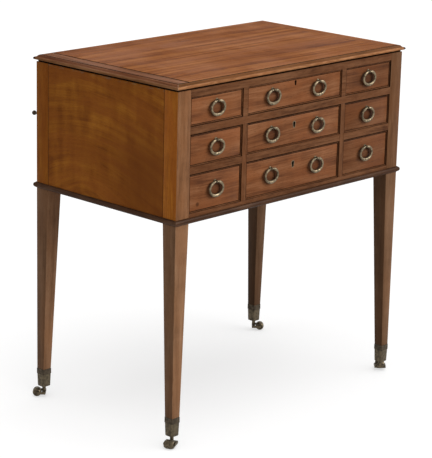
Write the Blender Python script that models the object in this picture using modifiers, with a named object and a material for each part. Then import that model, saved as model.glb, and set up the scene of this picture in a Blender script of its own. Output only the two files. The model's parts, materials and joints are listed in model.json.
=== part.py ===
"""Dressing table: a case of drawers under a hinged lid, on four tapered legs with casters.

Metres, +Z up. The origin is on the floor below the middle of the case, and the front faces -Y.
"""
import math

import bmesh
import bpy
from mathutils import Matrix, Vector

# Clearances
SEAT_GAP = 0.0003
DRAWER_GAP = 0.0008
DRAWER_BACK_SPACE = 0.0450

# Case, outside sizes
CASE_WIDTH = 0.760
CASE_DEPTH = 0.457
UNDERSIDE_HEIGHT = 0.5155

# Case, the rows of fronts from the bottom up and the rails between them
BOTTOM_RAIL = 0.0210
LOWER_ROW = 0.0881
UPPER_ROW = 0.0721
SHAM_ROW = 0.0657
RAIL = 0.0164

# Case, the boards
POST = 0.0400
SIDE_BOARD = 0.0140
BACK_BOARD = 0.0120
SHAM_BOARD = 0.0180
PARTITION = 0.0145
CENTRE_OPENING = 0.3201
GUIDE_HEIGHT = 0.0180

# How far the fronts lie behind the faces of the posts and rails
FRONT_RECESS = 0.0030

# Legs below the case
FOOT_SECTION = 0.0232
TENON_GAP = 0.0004

# Waist moulding round the bottom of the case
WAIST_HEIGHT = 0.0130
WAIST_PROJECTION = 0.0056
WAIST_FILLET = 0.0014

# Lid: a shadow band, a bead at the tip and an ogee up to the flat
LID_BAND = 0.0043
LID_BAND_INSET = 0.0030
LID_OVERHANG = 0.0056
LID_BEAD = 0.0062
LID_OGEE_RISE = 0.0048
LID_OGEE_RUN = 0.0081
LID_QUIRK = 0.0006

# Lid hinges on the back
HINGE_INSET = 0.1600
HINGE_LENGTH = 0.0500
HINGE_LEAF_HEIGHT = 0.0220
HINGE_LEAF = 0.0016
HINGE_BARREL_RADIUS = 0.0032
HINGE_PIN_OFFSET = 0.0045

# Drawers
DRAWER_FRONT = 0.0180
DRAWER_SIDE = 0.0080
DRAWER_BACK = 0.0070
DRAWER_BOTTOM = 0.0060

# Ring pulls: an oval ring hung in the eye of a turned post
RING_WIDTH = 0.0415
RING_HEIGHT = 0.0330
RING_RADIUS = 0.0035
RING_NECK_RADIUS = 0.0022
RING_NECK_ARC = math.radians(18)
RING_SWELL_ARC = math.radians(60)
PULL_SPACING = 0.1550
ROSE_RADIUS = 0.0055
ROSE_THICKNESS = 0.0008
EYE_NECK_RADIUS = 0.0026
EYE_RADIUS = 0.0042
EYE_LIFT = 0.0012
EYE_CLEARANCE = 0.0006

# Casters: a square cup on the foot, a horn that swivels under it and a roller
CUP_BOTTOM_HEIGHT = 0.0261
CUP_HEIGHT = 0.0443
CUP_FLOOR = 0.0030
CUP_WALL = 0.0015
CUP_TAPER = 0.0009
COLLAR_HEIGHT = 0.0130
COLLAR_PROJECTION = 0.0007
CASTER_TRAIL = 0.0165
WHEEL_RADIUS = 0.0105
WHEEL_WIDTH = 0.0225
WHEEL_LAND = 0.0100
WHEEL_CROWN = 0.0030
WHEEL_GAP = 0.0004
AXLE_RADIUS = 0.0020
BORE_CLEARANCE = 0.0003
YOKE_CHEEK = 0.0024
YOKE_HEIGHT = 0.0064
YOKE_BAR = 0.0060
YOKE_END = 0.0035
RIVET_RADIUS = 0.0042
RIVET_HEAD = 0.0022
STEM_RADIUS = 0.0025
NECK_RADIUS = 0.0043
NECK_FLANGE_RADIUS = 0.0055
NECK_FLANGE = 0.0015
NECK_BOTTOM_HEIGHT = 0.0066

# Knob on the back of the rear left post
KNOB_HEIGHT = 0.6885
KNOB_INSET = 0.0060
KNOB_REACH = 0.0200
KNOB_RADIUS = 0.0056
KNOB_STEM_RADIUS = 0.0024
KNOB_ROSE_RADIUS = 0.0045
KNOB_ROSE = 0.0015

# How far the middle of each row's rings lies above the middle of its fronts
PULL_RISE = {
    "sham": -0.0004,
    "upper": -0.0024,
    "lower": -0.0004,
}

# Heading of each trailing wheel, in degrees from +X
CASTER_HEADING = {
    "front_left": 206.6,
    "front_right": 43.6,
    "back_left": 134.0,
    "back_right": -46.0,
}

# Facets of turned and moulded pieces, and how close two points are to count as one
STEPS_FINE = 24
STEPS = 12
ARC_POINTS = 7
CROWN_POINTS = 4
MERGE_DISTANCE = 0.00001

# Levels and planes that follow from the sizes above
HALF_WIDTH = CASE_WIDTH / 2
HALF_DEPTH = CASE_DEPTH / 2
FRONT = -HALF_DEPTH
REAR = HALF_DEPTH
BAY = HALF_WIDTH - POST
LOWER_FLOOR = UNDERSIDE_HEIGHT + BOTTOM_RAIL
LOWER_TOP = LOWER_FLOOR + LOWER_ROW
UPPER_FLOOR = LOWER_TOP + RAIL
UPPER_TOP = UPPER_FLOOR + UPPER_ROW
WELL_FLOOR = UPPER_TOP + RAIL
SHAM_TOP = WELL_FLOOR + SHAM_ROW
CASE_TOP = SHAM_TOP + RAIL
LID_UNDERSIDE = CASE_TOP + SEAT_GAP
BACK_FACE = REAR - BACK_BOARD
SIDE_FACE = HALF_WIDTH - SIDE_BOARD
FIELD_FACE = FRONT + FRONT_RECESS
DRAWER_LENGTH = BACK_FACE - FIELD_FACE - DRAWER_BACK_SPACE
RING_STANDOFF = EYE_RADIUS + EYE_LIFT
PARTITION_X = (CENTRE_OPENING + PARTITION) / 2
CUP_TOP = CUP_BOTTOM_HEIGHT + CUP_HEIGHT
CUP_CAVITY = FOOT_SECTION - 2 * CUP_TAPER - 2 * CUP_WALL
FOOT_X = HALF_WIDTH - FOOT_SECTION / 2
FOOT_Y = HALF_DEPTH - FOOT_SECTION / 2

# Each corner's name with the side that it stands on, in X and in Y
CORNERS = {
    "front_left": (-1, -1),
    "front_right": (1, -1),
    "back_left": (-1, 1),
    "back_right": (1, 1),
}

# Each row's name with its floor and top
ROWS = {
    "sham": (WELL_FLOOR, SHAM_TOP),
    "upper": (UPPER_FLOOR, UPPER_TOP),
    "lower": (LOWER_FLOOR, LOWER_TOP),
}

# Each column's name with its left and right edges
COLUMNS = {
    "left": (-BAY, -PARTITION_X - PARTITION / 2),
    "centre": (-CENTRE_OPENING / 2, CENTRE_OPENING / 2),
    "right": (PARTITION_X + PARTITION / 2, BAY),
}

# Finishes: colour, roughness and metallic value
FINISHES = {
    "top_mahogany": ((0.254, 0.093, 0.040), 0.32, 0.0),
    "front_mahogany": ((0.212, 0.077, 0.032), 0.36, 0.0),
    "side_mahogany": ((0.240, 0.098, 0.030), 0.38, 0.0),
    "leg_mahogany": ((0.120, 0.045, 0.020), 0.40, 0.0),
    "moulding_mahogany": ((0.085, 0.030, 0.014), 0.38, 0.0),
    "ring_brass": ((0.480, 0.310, 0.110), 0.34, 1.0),
    "caster_bronze": ((0.190, 0.115, 0.045), 0.42, 1.0),
    "hinge_brass": ((0.330, 0.210, 0.080), 0.40, 1.0),
    "knob_bronze": ((0.045, 0.032, 0.020), 0.35, 1.0),
}


def clear_scene():
    """Remove every object that the scene starts with."""
    for obj in list(bpy.data.objects):
        bpy.data.objects.remove(obj, do_unlink=True)


def new_collection(name):
    """Make a collection in the scene."""
    collection = bpy.data.collections.new(name)
    bpy.context.scene.collection.children.link(collection)
    return collection


def new_material(name):
    """Make a Principled material from the table of finishes."""
    colour, roughness, metallic = FINISHES[name]
    material = bpy.data.materials.new(name)
    material.use_nodes = True
    shader = material.node_tree.nodes["Principled BSDF"]
    shader.inputs["Base Color"].default_value = (*colour, 1.0)
    shader.inputs["Roughness"].default_value = roughness
    shader.inputs["Metallic"].default_value = metallic
    return material


def place_part(name, mesh, finish, location=(0, 0, 0), heading=0.0, parent=None):
    """Put a finished mesh in the table's collection as a named part.

    The mesh is written about the part's own origin, which goes to the location.
    """
    obj = bpy.data.objects.new(name, mesh)
    obj.location = location
    obj.rotation_euler = (0, 0, heading)
    obj.parent = parent
    if not mesh.materials:
        mesh.materials.append(MATERIALS[finish])
    PARTS.objects.link(obj)
    return obj


def loose_object(mesh):
    """Put a mesh in the scene for a moment, for a modifier to work on."""
    obj = bpy.data.objects.new("working_shape", mesh)
    bpy.context.scene.collection.objects.link(obj)
    return obj


def baked_mesh(obj):
    """Take an object's evaluated mesh, in its own frame, and remove the object."""
    graph = bpy.context.evaluated_depsgraph_get()
    mesh = bpy.data.meshes.new_from_object(obj.evaluated_get(graph))
    bpy.data.objects.remove(obj, do_unlink=True)
    return mesh


def mesh_from(bm):
    """Close a bmesh into a mesh with its faces pointing out."""
    bmesh.ops.recalc_face_normals(bm, faces=bm.faces)
    mesh = bpy.data.meshes.new("shape")
    bm.to_mesh(mesh)
    bm.free()
    return mesh


def add_box(bm, low, high):
    """Add a box between two corners."""
    low, high = Vector(low), Vector(high)
    place = Matrix.Translation((low + high) / 2) @ Matrix.Diagonal((*(high - low), 1))
    return bmesh.ops.create_cube(bm, size=1, matrix=place)["verts"]


def box_mesh(*corner_pairs):
    """Mesh of one or more boxes, each given by its low and high corner."""
    bm = bmesh.new()
    for low, high in corner_pairs:
        add_box(bm, low, high)
    return mesh_from(bm)


def set_section(verts, section):
    """Move four vertices to the corners of a level rectangle."""
    low_x, high_x, low_y, high_y, level = section
    middle = sum((v.co for v in verts), Vector()) / len(verts)
    for vert in verts:
        x = high_x if vert.co.x > middle.x else low_x
        y = high_y if vert.co.y > middle.y else low_y
        vert.co = (x, y, level)


def face_looking_up(bm):
    """The highest level face."""
    return max(bm.faces, key=lambda face: face.calc_center_median().z)


def extrude_face(bm, face):
    """Extrude one face and return the corners of the copy, still in its place."""
    moved = bmesh.ops.extrude_face_region(bm, geom=[face])["geom"]
    bmesh.ops.delete(bm, geom=[face], context="FACES_ONLY")
    return [element for element in moved if isinstance(element, bmesh.types.BMVert)]


def stack_sections(bm, sections):
    """Build level rectangles into one solid, each (low x, high x, low y, high y, level)."""
    verts = bmesh.ops.create_cube(bm, size=1)["verts"]
    lower = [vert for vert in verts if vert.co.z < 0]
    upper = [vert for vert in verts if vert.co.z > 0]
    set_section(lower, sections[0])
    set_section(upper, sections[1])
    top = next(face for face in bm.faces if set(face.verts) == set(upper))
    for section in sections[2:]:
        corners = extrude_face(bm, top)
        top = next(face for face in bm.faces if set(face.verts) == set(corners))
        set_section(corners, section)


def square(half, level):
    """A centred square section."""
    return (-half, half, -half, half, level)


def sink_cavity(bm, low, high):
    """Sink a box-shaped cavity into the highest face, down to the low corner."""
    rim = face_looking_up(bm)
    bmesh.ops.inset_region(bm, faces=[rim], thickness=SEAT_GAP, use_even_offset=True)
    mouth = (low[0], high[0], low[1], high[1])
    set_section(rim.verts, (*mouth, rim.calc_center_median().z))
    set_section(extrude_face(bm, rim), (*mouth, low[2]))


def outline_mesh(points, thickness, place):
    """Mesh of a flat outline with its thickness, moved to its place."""
    curve = bpy.data.curves.new("outline", "CURVE")
    curve.dimensions = "2D"
    curve.fill_mode = "BOTH"
    curve.extrude = thickness / 2
    spline = curve.splines.new("POLY")
    spline.points.add(len(points) - 1)
    for point, (x, y) in zip(spline.points, points):
        point.co = (x, y, 0, 1)
    spline.use_cyclic_u = True
    mesh = baked_mesh(loose_object(curve))
    bm = bmesh.new()
    bm.from_mesh(mesh)
    bmesh.ops.remove_doubles(bm, verts=bm.verts, dist=MERGE_DISTANCE)
    bm.transform(place)
    bpy.data.meshes.remove(mesh)
    bpy.data.curves.remove(curve)
    return mesh_from(bm)


def axes_matrix(x_axis, y_axis, origin=(0, 0, 0)):
    """Matrix that lays a flat outline's X and Y along two world axes."""
    x_axis, y_axis = Vector(x_axis), Vector(y_axis)
    turn = Matrix((x_axis, y_axis, x_axis.cross(y_axis))).transposed().to_4x4()
    return Matrix.Translation(origin) @ turn


def turned_mesh(profile, steps, closed=False):
    """Turn a profile of (radius, height) points round Z, top to bottom."""
    mesh = bpy.data.meshes.new("profile")
    count = len(profile)
    edges = [(i, (i + 1) % count) for i in range(count if closed else count - 1)]
    mesh.from_pydata([(radius, 0, height) for radius, height in profile], edges, [])
    obj = loose_object(mesh)
    screw = obj.modifiers.new("turn", "SCREW")
    screw.axis = "Z"
    screw.steps = steps
    screw.render_steps = steps
    screw.use_merge_vertices = True
    screw.merge_threshold = MERGE_DISTANCE
    shape = baked_mesh(obj)
    bm = bmesh.new()
    bm.from_mesh(shape)
    bpy.data.meshes.remove(shape)
    return mesh_from(bm)


def shade_round(mesh, angle=40):
    """Shade a turned piece smooth, with its corners left sharp."""
    mesh.shade_smooth()
    mesh.set_sharp_from_angle(angle=math.radians(angle))
    return mesh


def joined(mesh, other, operation):
    """Mesh of a Boolean between two closed meshes in the same frame."""
    body = loose_object(mesh)
    tool = loose_object(other)
    boolean = body.modifiers.new("join", "BOOLEAN")
    boolean.operation = operation
    boolean.object = tool
    result = baked_mesh(body)
    bpy.data.objects.remove(tool, do_unlink=True)
    return result


def add_cutter(name, mesh, part):
    """Keep a cutter in its own collection and let it cut a part."""
    cutter = bpy.data.objects.new(name, mesh)
    cutter.hide_render = True
    cutter.display_type = "WIRE"
    CUTTERS.objects.link(cutter)
    boolean = part.modifiers.new(name, "BOOLEAN")
    boolean.operation = "DIFFERENCE"
    boolean.object = cutter


def arc(centre, radius, start, end):
    """Points along an arc, its angles in degrees."""
    points = []
    for i in range(ARC_POINTS):
        angle = math.radians(start + (end - start) * i / (ARC_POINTS - 1))
        points.append((centre[0] + radius * math.cos(angle), centre[1] + radius * math.sin(angle)))
    return points


def ball_profile(radius, neck_radius, level):
    """Profile of a ball on a neck, from its crown down to where the neck begins."""
    neck_angle = -math.degrees(math.acos(neck_radius / radius))
    ball = arc((0, level), radius, 90, neck_angle)
    ball[0] = (0, level + radius)
    return ball


def build_posts():
    """Corner posts, each running down as a leg that tapers on its two inner faces."""
    tenon = CUP_CAVITY / 2 - TENON_GAP
    shoulder = CUP_TOP + SEAT_GAP
    tenon_end = CUP_BOTTOM_HEIGHT + CUP_FLOOR + RIVET_HEAD + 2 * TENON_GAP + SEAT_GAP
    for corner, (side_x, side_y) in CORNERS.items():
        outer_x = side_x * HALF_WIDTH
        outer_y = side_y * HALF_DEPTH

        def section(size, level):
            inner_x = outer_x - side_x * size
            inner_y = outer_y - side_y * size
            return (*sorted((outer_x, inner_x)), *sorted((outer_y, inner_y)), level)

        def tenon_section(level):
            x, y = side_x * FOOT_X, side_y * FOOT_Y
            return (x - tenon, x + tenon, y - tenon, y + tenon, level)

        bm = bmesh.new()
        stack_sections(bm, [
            tenon_section(tenon_end),
            tenon_section(shoulder),
            section(FOOT_SECTION, shoulder),
            section(POST, UNDERSIDE_HEIGHT),
            section(POST, CASE_TOP),
        ])
        place_part(f"post_{corner}", mesh_from(bm), "leg_mahogany")


def build_sides():
    """Side boards between the posts, with the drawer guides fixed to their inner faces."""
    guide_x = BAY + SEAT_GAP
    length = CASE_DEPTH - 2 * POST - 2 * SEAT_GAP
    outline = [(HALF_WIDTH, UNDERSIDE_HEIGHT), (HALF_WIDTH, CASE_TOP), (SIDE_FACE, CASE_TOP)]
    for floor in (UPPER_FLOOR, LOWER_FLOOR):
        outline += [
            (SIDE_FACE, floor + GUIDE_HEIGHT),
            (guide_x, floor + GUIDE_HEIGHT),
            (guide_x, floor + SEAT_GAP),
            (SIDE_FACE, floor + SEAT_GAP),
        ]
    outline.append((SIDE_FACE, UNDERSIDE_HEIGHT))
    for name, side in (("left", -1), ("right", 1)):
        place = axes_matrix((side, 0, 0), (0, 0, 1))
        mesh = outline_mesh(outline, length, place)
        place_part(f"side_{name}", mesh, "side_mahogany")


def build_back():
    """Back board between the rear posts."""
    width = BAY - SEAT_GAP
    mesh = box_mesh(((-width, BACK_FACE, UNDERSIDE_HEIGHT), (width, REAR, CASE_TOP)))
    place_part("back", mesh, "side_mahogany")


def board_outline(slot_depth):
    """Outline of a level board that fills the case between its corner posts.

    With a slot depth the front edge has a slot for each partition.
    """
    inner = BAY - SEAT_GAP
    outer = SIDE_FACE - SEAT_GAP
    front_shoulder = FRONT + POST + SEAT_GAP
    rear_shoulder = REAR - POST - SEAT_GAP
    rear = BACK_FACE - SEAT_GAP
    right = [(inner, FRONT), (inner, front_shoulder), (outer, front_shoulder)]
    right += [(outer, rear_shoulder), (inner, rear_shoulder), (inner, rear)]
    if slot_depth:
        near = PARTITION_X - PARTITION / 2 - SEAT_GAP
        far = PARTITION_X + PARTITION / 2 + SEAT_GAP
        end = FRONT + slot_depth
        right = [(near, FRONT), (near, end), (far, end), (far, FRONT)] + right
    return right + [(-x, y) for x, y in reversed(right)]


def build_boards():
    """Level boards: the case bottom, the shelf under the upper drawers and the well floor."""
    slot_depth = (BACK_FACE - FRONT) / 2 + SEAT_GAP
    boards = (
        ("case_bottom", UNDERSIDE_HEIGHT, LOWER_FLOOR, 0.0),
        ("drawer_shelf", LOWER_TOP, UPPER_FLOOR, slot_depth),
        ("well_floor", UPPER_TOP, WELL_FLOOR, 0.0),
    )
    for name, bottom, top, slot in boards:
        place = Matrix.Translation((0, 0, (bottom + top) / 2))
        mesh = outline_mesh(board_outline(slot), top - bottom, place)
        place_part(name, mesh, "front_mahogany")


def build_partitions():
    """Upright partitions, halved over the shelf from behind."""
    slot_end = FRONT + (BACK_FACE - FRONT) / 2
    bottom = LOWER_FLOOR + SEAT_GAP
    top = UPPER_TOP - SEAT_GAP
    rear = BACK_FACE - SEAT_GAP
    outline = [
        (FRONT, bottom),
        (rear, bottom),
        (rear, LOWER_TOP - SEAT_GAP),
        (slot_end, LOWER_TOP - SEAT_GAP),
        (slot_end, UPPER_FLOOR + SEAT_GAP),
        (rear, UPPER_FLOOR + SEAT_GAP),
        (rear, top),
        (FRONT, top),
    ]
    for name, side in (("left", -1), ("right", 1)):
        place = axes_matrix((0, 1, 0), (0, 0, 1), (side * PARTITION_X, 0, 0))
        mesh = outline_mesh(outline, PARTITION, place)
        place_part(f"partition_{name}", mesh, "front_mahogany")


def build_sham_front():
    """Board above the drawers, with three sunk fields that look like a third row of fronts."""
    width = BAY - SEAT_GAP
    low = (-width, FRONT, WELL_FLOOR + SEAT_GAP)
    board = box_mesh((low, (width, FRONT + SHAM_BOARD, CASE_TOP)))
    part = place_part("sham_front", board, "front_mahogany")
    floor, top = ROWS["sham"]
    for column, (left, right) in COLUMNS.items():
        field = box_mesh(((left, FRONT - FRONT_RECESS, floor), (right, FIELD_FACE, top)))
        add_cutter(f"sham_field_{column}", field, part)


def build_waist():
    """Half-round moulding round the bottom of the case, mitred into one frame."""
    radius = WAIST_HEIGHT / 2
    middle = UNDERSIDE_HEIGHT + radius
    inner_x = HALF_WIDTH + SEAT_GAP
    inner_y = HALF_DEPTH + SEAT_GAP
    sections = []
    for run, rise in arc((0, 0), 1, -90, 90):
        half_x = inner_x + WAIST_FILLET + (WAIST_PROJECTION - WAIST_FILLET) * run
        half_y = half_x - inner_x + inner_y
        sections.append((-half_x, half_x, -half_y, half_y, middle + radius * rise))
    bm = bmesh.new()
    stack_sections(bm, sections)
    part = place_part("waist_moulding", mesh_from(bm), "moulding_mahogany")
    opening = box_mesh((
        (-inner_x, -inner_y, UNDERSIDE_HEIGHT - WAIST_HEIGHT),
        (inner_x, inner_y, UNDERSIDE_HEIGHT + 2 * WAIST_HEIGHT),
    ))
    add_cutter("waist_opening", opening, part)


def lid_edge():
    """Edge of the lid from the underside up: (distance out from the case, height)."""
    bead = LID_BEAD / 2
    edge = [(-LID_BAND_INSET, 0), (-LID_BAND_INSET, LID_BAND)]
    edge += arc((LID_OVERHANG - bead, LID_BAND + bead), bead, -90, 90)
    start_x, start_z = edge[-1]
    for i in range(1, ARC_POINTS + 1):
        share = i / ARC_POINTS
        rise = share - math.sin(2 * math.pi * share) / (2 * math.pi)
        edge.append((start_x - LID_OGEE_RUN * share, start_z + LID_OGEE_RISE * rise))
    edge.append((edge[-1][0] - LID_QUIRK, edge[-1][1] + LID_QUIRK))
    return edge


def build_lid():
    """Lid with its moulded edge, its origin on the line of the hinge pins."""
    pin_y = REAR + HINGE_PIN_OFFSET
    sections = []
    for out, height in lid_edge():
        half_x = HALF_WIDTH + out
        sections.append((-half_x, half_x, FRONT - out - pin_y, REAR + out - pin_y, height))
    bm = bmesh.new()
    stack_sections(bm, sections)
    place_part("lid", mesh_from(bm), "top_mahogany", (0, pin_y, LID_UNDERSIDE))


def build_hinges():
    """Lid hinges: the leaf on the case's back with the barrel that holds the pin."""
    leaf_near = SEAT_GAP - HINGE_PIN_OFFSET
    half = HINGE_LENGTH / 2
    plate = box_mesh(((-half, leaf_near, -HINGE_LEAF_HEIGHT), (half, leaf_near + HINGE_LEAF, 0)))
    profile = [(0, half), (HINGE_BARREL_RADIUS, half), (HINGE_BARREL_RADIUS, -half), (0, -half)]
    barrel = turned_mesh(profile, STEPS)
    barrel.transform(Matrix.Rotation(math.radians(90), 4, "Y"))
    hinge = shade_round(joined(plate, barrel, "UNION"))
    for name, side in (("left", -1), ("right", 1)):
        location = (side * (HALF_WIDTH - HINGE_INSET), REAR + HINGE_PIN_OFFSET, LID_UNDERSIDE)
        place_part(f"hinge_{name}", hinge, "hinge_brass", location)


def build_drawers():
    """Drawers of the upper and lower rows, each with its origin at the foot of its front."""
    for row in ("upper", "lower"):
        floor, top = ROWS[row]
        height = top - DRAWER_GAP - floor - SEAT_GAP
        for column, (left, right) in COLUMNS.items():
            half = (right - left) / 2 - DRAWER_GAP
            bm = bmesh.new()
            add_box(bm, (-half, 0, 0), (half, DRAWER_LENGTH, height))
            inside_low = (-half + DRAWER_SIDE, DRAWER_FRONT, DRAWER_BOTTOM)
            inside_high = (half - DRAWER_SIDE, DRAWER_LENGTH - DRAWER_BACK)
            sink_cavity(bm, inside_low, inside_high)
            location = ((left + right) / 2, FIELD_FACE, floor + SEAT_GAP)
            place_part(f"drawer_{row}_{column}", mesh_from(bm), "front_mahogany", location)


def eye_mesh():
    """Turned post of a pull, along -Y from its rose to the eye that holds the ring."""
    profile = ball_profile(EYE_RADIUS, EYE_NECK_RADIUS, RING_STANDOFF) + [
        (EYE_NECK_RADIUS, ROSE_THICKNESS + SEAT_GAP),
        (ROSE_RADIUS, ROSE_THICKNESS),
        (ROSE_RADIUS, SEAT_GAP),
        (0, SEAT_GAP),
    ]
    post = turned_mesh(profile, STEPS)
    bore = RING_NECK_RADIUS + EYE_CLEARANCE
    length = 2 * EYE_RADIUS
    hole = turned_mesh([(0, length), (bore, length), (bore, -length), (0, -length)], STEPS)
    across = Matrix.Translation((0, 0, RING_STANDOFF)) @ Matrix.Rotation(math.radians(90), 4, "Y")
    hole.transform(across)
    mesh = joined(post, hole, "DIFFERENCE")
    mesh.transform(Matrix.Rotation(math.radians(90), 4, "X"))
    mesh.transform(Matrix.Translation((0, RING_STANDOFF, 0)))
    return shade_round(mesh)


def ring_section(angle):
    """Radius of the ring at an angle from its top: thin in the eye, and full from the shoulders down."""
    away = abs(math.remainder(angle, 2 * math.pi))
    share = min(1, max(0, (away - RING_NECK_ARC) / (RING_SWELL_ARC - RING_NECK_ARC)))
    swell = share * share * (3 - 2 * share)
    return RING_NECK_RADIUS + (RING_RADIUS - RING_NECK_RADIUS) * swell


def ring_curve():
    """Oval ring hanging from the eye, drawn about the line that it swings on."""
    curve = bpy.data.curves.new("ring", "CURVE")
    curve.dimensions = "3D"
    curve.bevel_depth = RING_RADIUS
    curve.bevel_resolution = 1
    curve.render_resolution_u = 0
    spline = curve.splines.new("POLY")
    count = STEPS_FINE
    spline.points.add(count - 1)
    for i, point in enumerate(spline.points):
        angle = 2 * math.pi * (i + 0.5) / count
        x = RING_WIDTH / 2 * math.sin(angle)
        z = RING_HEIGHT / 2 * (math.cos(angle) - 1)
        point.co = (x, 0, z, 1)
        point.radius = ring_section(angle) / RING_RADIUS
    spline.use_cyclic_u = True
    curve.materials.append(MATERIALS["ring_brass"])
    return curve


def pull_places():
    """Name, X and height of the line that each ring swings on."""
    places = []
    for row, (floor, top) in ROWS.items():
        height = (floor + top) / 2 + PULL_RISE[row] + RING_HEIGHT / 2
        for column, (left, right) in COLUMNS.items():
            middle = (left + right) / 2
            if column == "centre":
                places.append((f"{row}_centre_left", middle - PULL_SPACING / 2, height))
                places.append((f"{row}_centre_right", middle + PULL_SPACING / 2, height))
            else:
                places.append((f"{row}_{column}", middle, height))
    return places


def build_pulls():
    """Ring pulls on every front, two on each wide one."""
    eye = eye_mesh()
    ring = ring_curve()
    for name, x, height in pull_places():
        location = (x, FIELD_FACE - RING_STANDOFF, height)
        place_part(f"eye_{name}", eye, "ring_brass", location)
        place_part(f"ring_{name}", ring, "ring_brass", location)


def cup_mesh():
    """Square caster cup with a collar, drawn up from the middle of its underside."""
    half = FOOT_SECTION / 2
    collar = half + COLLAR_PROJECTION
    collar_bottom = CUP_HEIGHT - COLLAR_HEIGHT
    bm = bmesh.new()
    stack_sections(bm, [
        square(half - CUP_TAPER, 0),
        square(half, collar_bottom),
        square(collar, collar_bottom + COLLAR_PROJECTION),
        square(collar, CUP_HEIGHT),
    ])
    inside = CUP_CAVITY / 2
    sink_cavity(bm, (-inside, -inside, CUP_FLOOR), (inside, inside))
    bore = STEM_RADIUS + BORE_CLEARANCE
    above = 2 * CUP_FLOOR
    below = -CUP_FLOOR
    hole = turned_mesh([(0, above), (bore, above), (bore, below), (0, below)], STEPS)
    return joined(mesh_from(bm), hole, "DIFFERENCE")


def horn_mesh():
    """Caster horn about its swivel line at the cup's underside; the wheel trails along +X."""
    head_top = CUP_FLOOR + SEAT_GAP + RIVET_HEAD
    head_bottom = CUP_FLOOR + SEAT_GAP
    neck_bottom = NECK_BOTTOM_HEIGHT - CUP_BOTTOM_HEIGHT
    neck = turned_mesh([
        (0, head_top),
        (RIVET_RADIUS, head_top),
        (RIVET_RADIUS, head_bottom),
        (STEM_RADIUS, head_bottom),
        (STEM_RADIUS, -SEAT_GAP),
        (NECK_FLANGE_RADIUS, -SEAT_GAP),
        (NECK_FLANGE_RADIUS, -SEAT_GAP - NECK_FLANGE),
        (NECK_RADIUS, -SEAT_GAP - 2 * NECK_FLANGE),
        (NECK_RADIUS, neck_bottom + NECK_FLANGE),
        (NECK_RADIUS - NECK_FLANGE, neck_bottom),
        (0, neck_bottom),
    ], STEPS)
    axle_level = WHEEL_RADIUS - CUP_BOTTOM_HEIGHT
    inner = WHEEL_WIDTH / 2 + WHEEL_GAP
    outer = inner + YOKE_CHEEK
    front = -YOKE_BAR / 2
    back = CASTER_TRAIL + YOKE_END
    yoke = outline_mesh([
        (front, -outer), (back, -outer), (back, -inner), (-front, -inner),
        (-front, inner), (back, inner), (back, outer), (front, outer),
    ], YOKE_HEIGHT, Matrix.Translation((0, 0, axle_level)))
    end = outer + YOKE_CHEEK / 2
    axle = turned_mesh([(0, end), (AXLE_RADIUS, end), (AXLE_RADIUS, -end), (0, -end)], STEPS)
    along = Matrix.Translation((CASTER_TRAIL, 0, axle_level)) @ Matrix.Rotation(math.radians(90), 4, "X")
    axle.transform(along)
    return shade_round(joined(joined(neck, yoke, "UNION"), axle, "UNION"))


def wheel_mesh():
    """Caster roller about its axle, which lies along Y: a barrel with a level tread."""
    bore = AXLE_RADIUS + BORE_CLEARANCE
    half = WHEEL_WIDTH / 2
    land = WHEEL_LAND / 2
    crown = []
    for i in range(CROWN_POINTS):
        share = 1 - i / (CROWN_POINTS - 1)
        crown.append((WHEEL_RADIUS - WHEEL_CROWN * share ** 2, land + (half - land) * share))
    far_crown = [(radius, -offset) for radius, offset in reversed(crown)]
    profile = crown + far_crown + [(bore, -half), (bore, half)]
    mesh = turned_mesh(profile, STEPS_FINE, closed=True)
    mesh.transform(Matrix.Rotation(math.radians(90), 4, "X"))
    return shade_round(mesh)


def build_casters():
    """Casters: a cup on each foot, a swivelling horn under it and a roller in the horn."""
    cup, horn, wheel = cup_mesh(), horn_mesh(), wheel_mesh()
    for corner, (side_x, side_y) in CORNERS.items():
        place = (side_x * FOOT_X, side_y * FOOT_Y, CUP_BOTTOM_HEIGHT)
        heading = math.radians(CASTER_HEADING[corner])
        place_part(f"cup_{corner}", cup, "caster_bronze", place)
        swivel = place_part(f"horn_{corner}", horn, "caster_bronze", place, heading)
        axle = (CASTER_TRAIL, 0, WHEEL_RADIUS - CUP_BOTTOM_HEIGHT)
        place_part(f"wheel_{corner}", wheel, "caster_bronze", axle, parent=swivel)


def build_knob():
    """Small ball knob on the back of the rear left post."""
    profile = ball_profile(KNOB_RADIUS, KNOB_STEM_RADIUS, KNOB_REACH - KNOB_RADIUS) + [
        (KNOB_STEM_RADIUS, KNOB_ROSE + SEAT_GAP),
        (KNOB_ROSE_RADIUS, KNOB_ROSE),
        (KNOB_ROSE_RADIUS, SEAT_GAP),
        (0, SEAT_GAP),
    ]
    mesh = turned_mesh(profile, STEPS)
    mesh.transform(Matrix.Rotation(math.radians(-90), 4, "X"))
    location = (-HALF_WIDTH + KNOB_INSET, REAR, KNOB_HEIGHT)
    place_part("rear_knob", shade_round(mesh), "knob_bronze", location)


def main():
    """Build every part of the table."""
    build_posts()
    build_sides()
    build_back()
    build_boards()
    build_partitions()
    build_sham_front()
    build_waist()
    build_lid()
    build_hinges()
    build_drawers()
    build_pulls()
    build_casters()
    build_knob()


clear_scene()
PARTS = new_collection("dressing_table")
CUTTERS = new_collection("cutters")
MATERIALS = {name: new_material(name) for name in FINISHES}
main()
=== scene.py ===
"""Looks of a mahogany dressing table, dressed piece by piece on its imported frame.

Lengths are in metres, +Z is up, the drawer fronts face -Y and the floor lies at z = 0.
"""

import json
import logging
import math
from collections.abc import Callable, Iterable, Sequence
from dataclasses import dataclass, replace
from enum import Enum
from functools import partial

import bmesh
import bpy
from mathutils import Matrix, Vector


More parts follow.
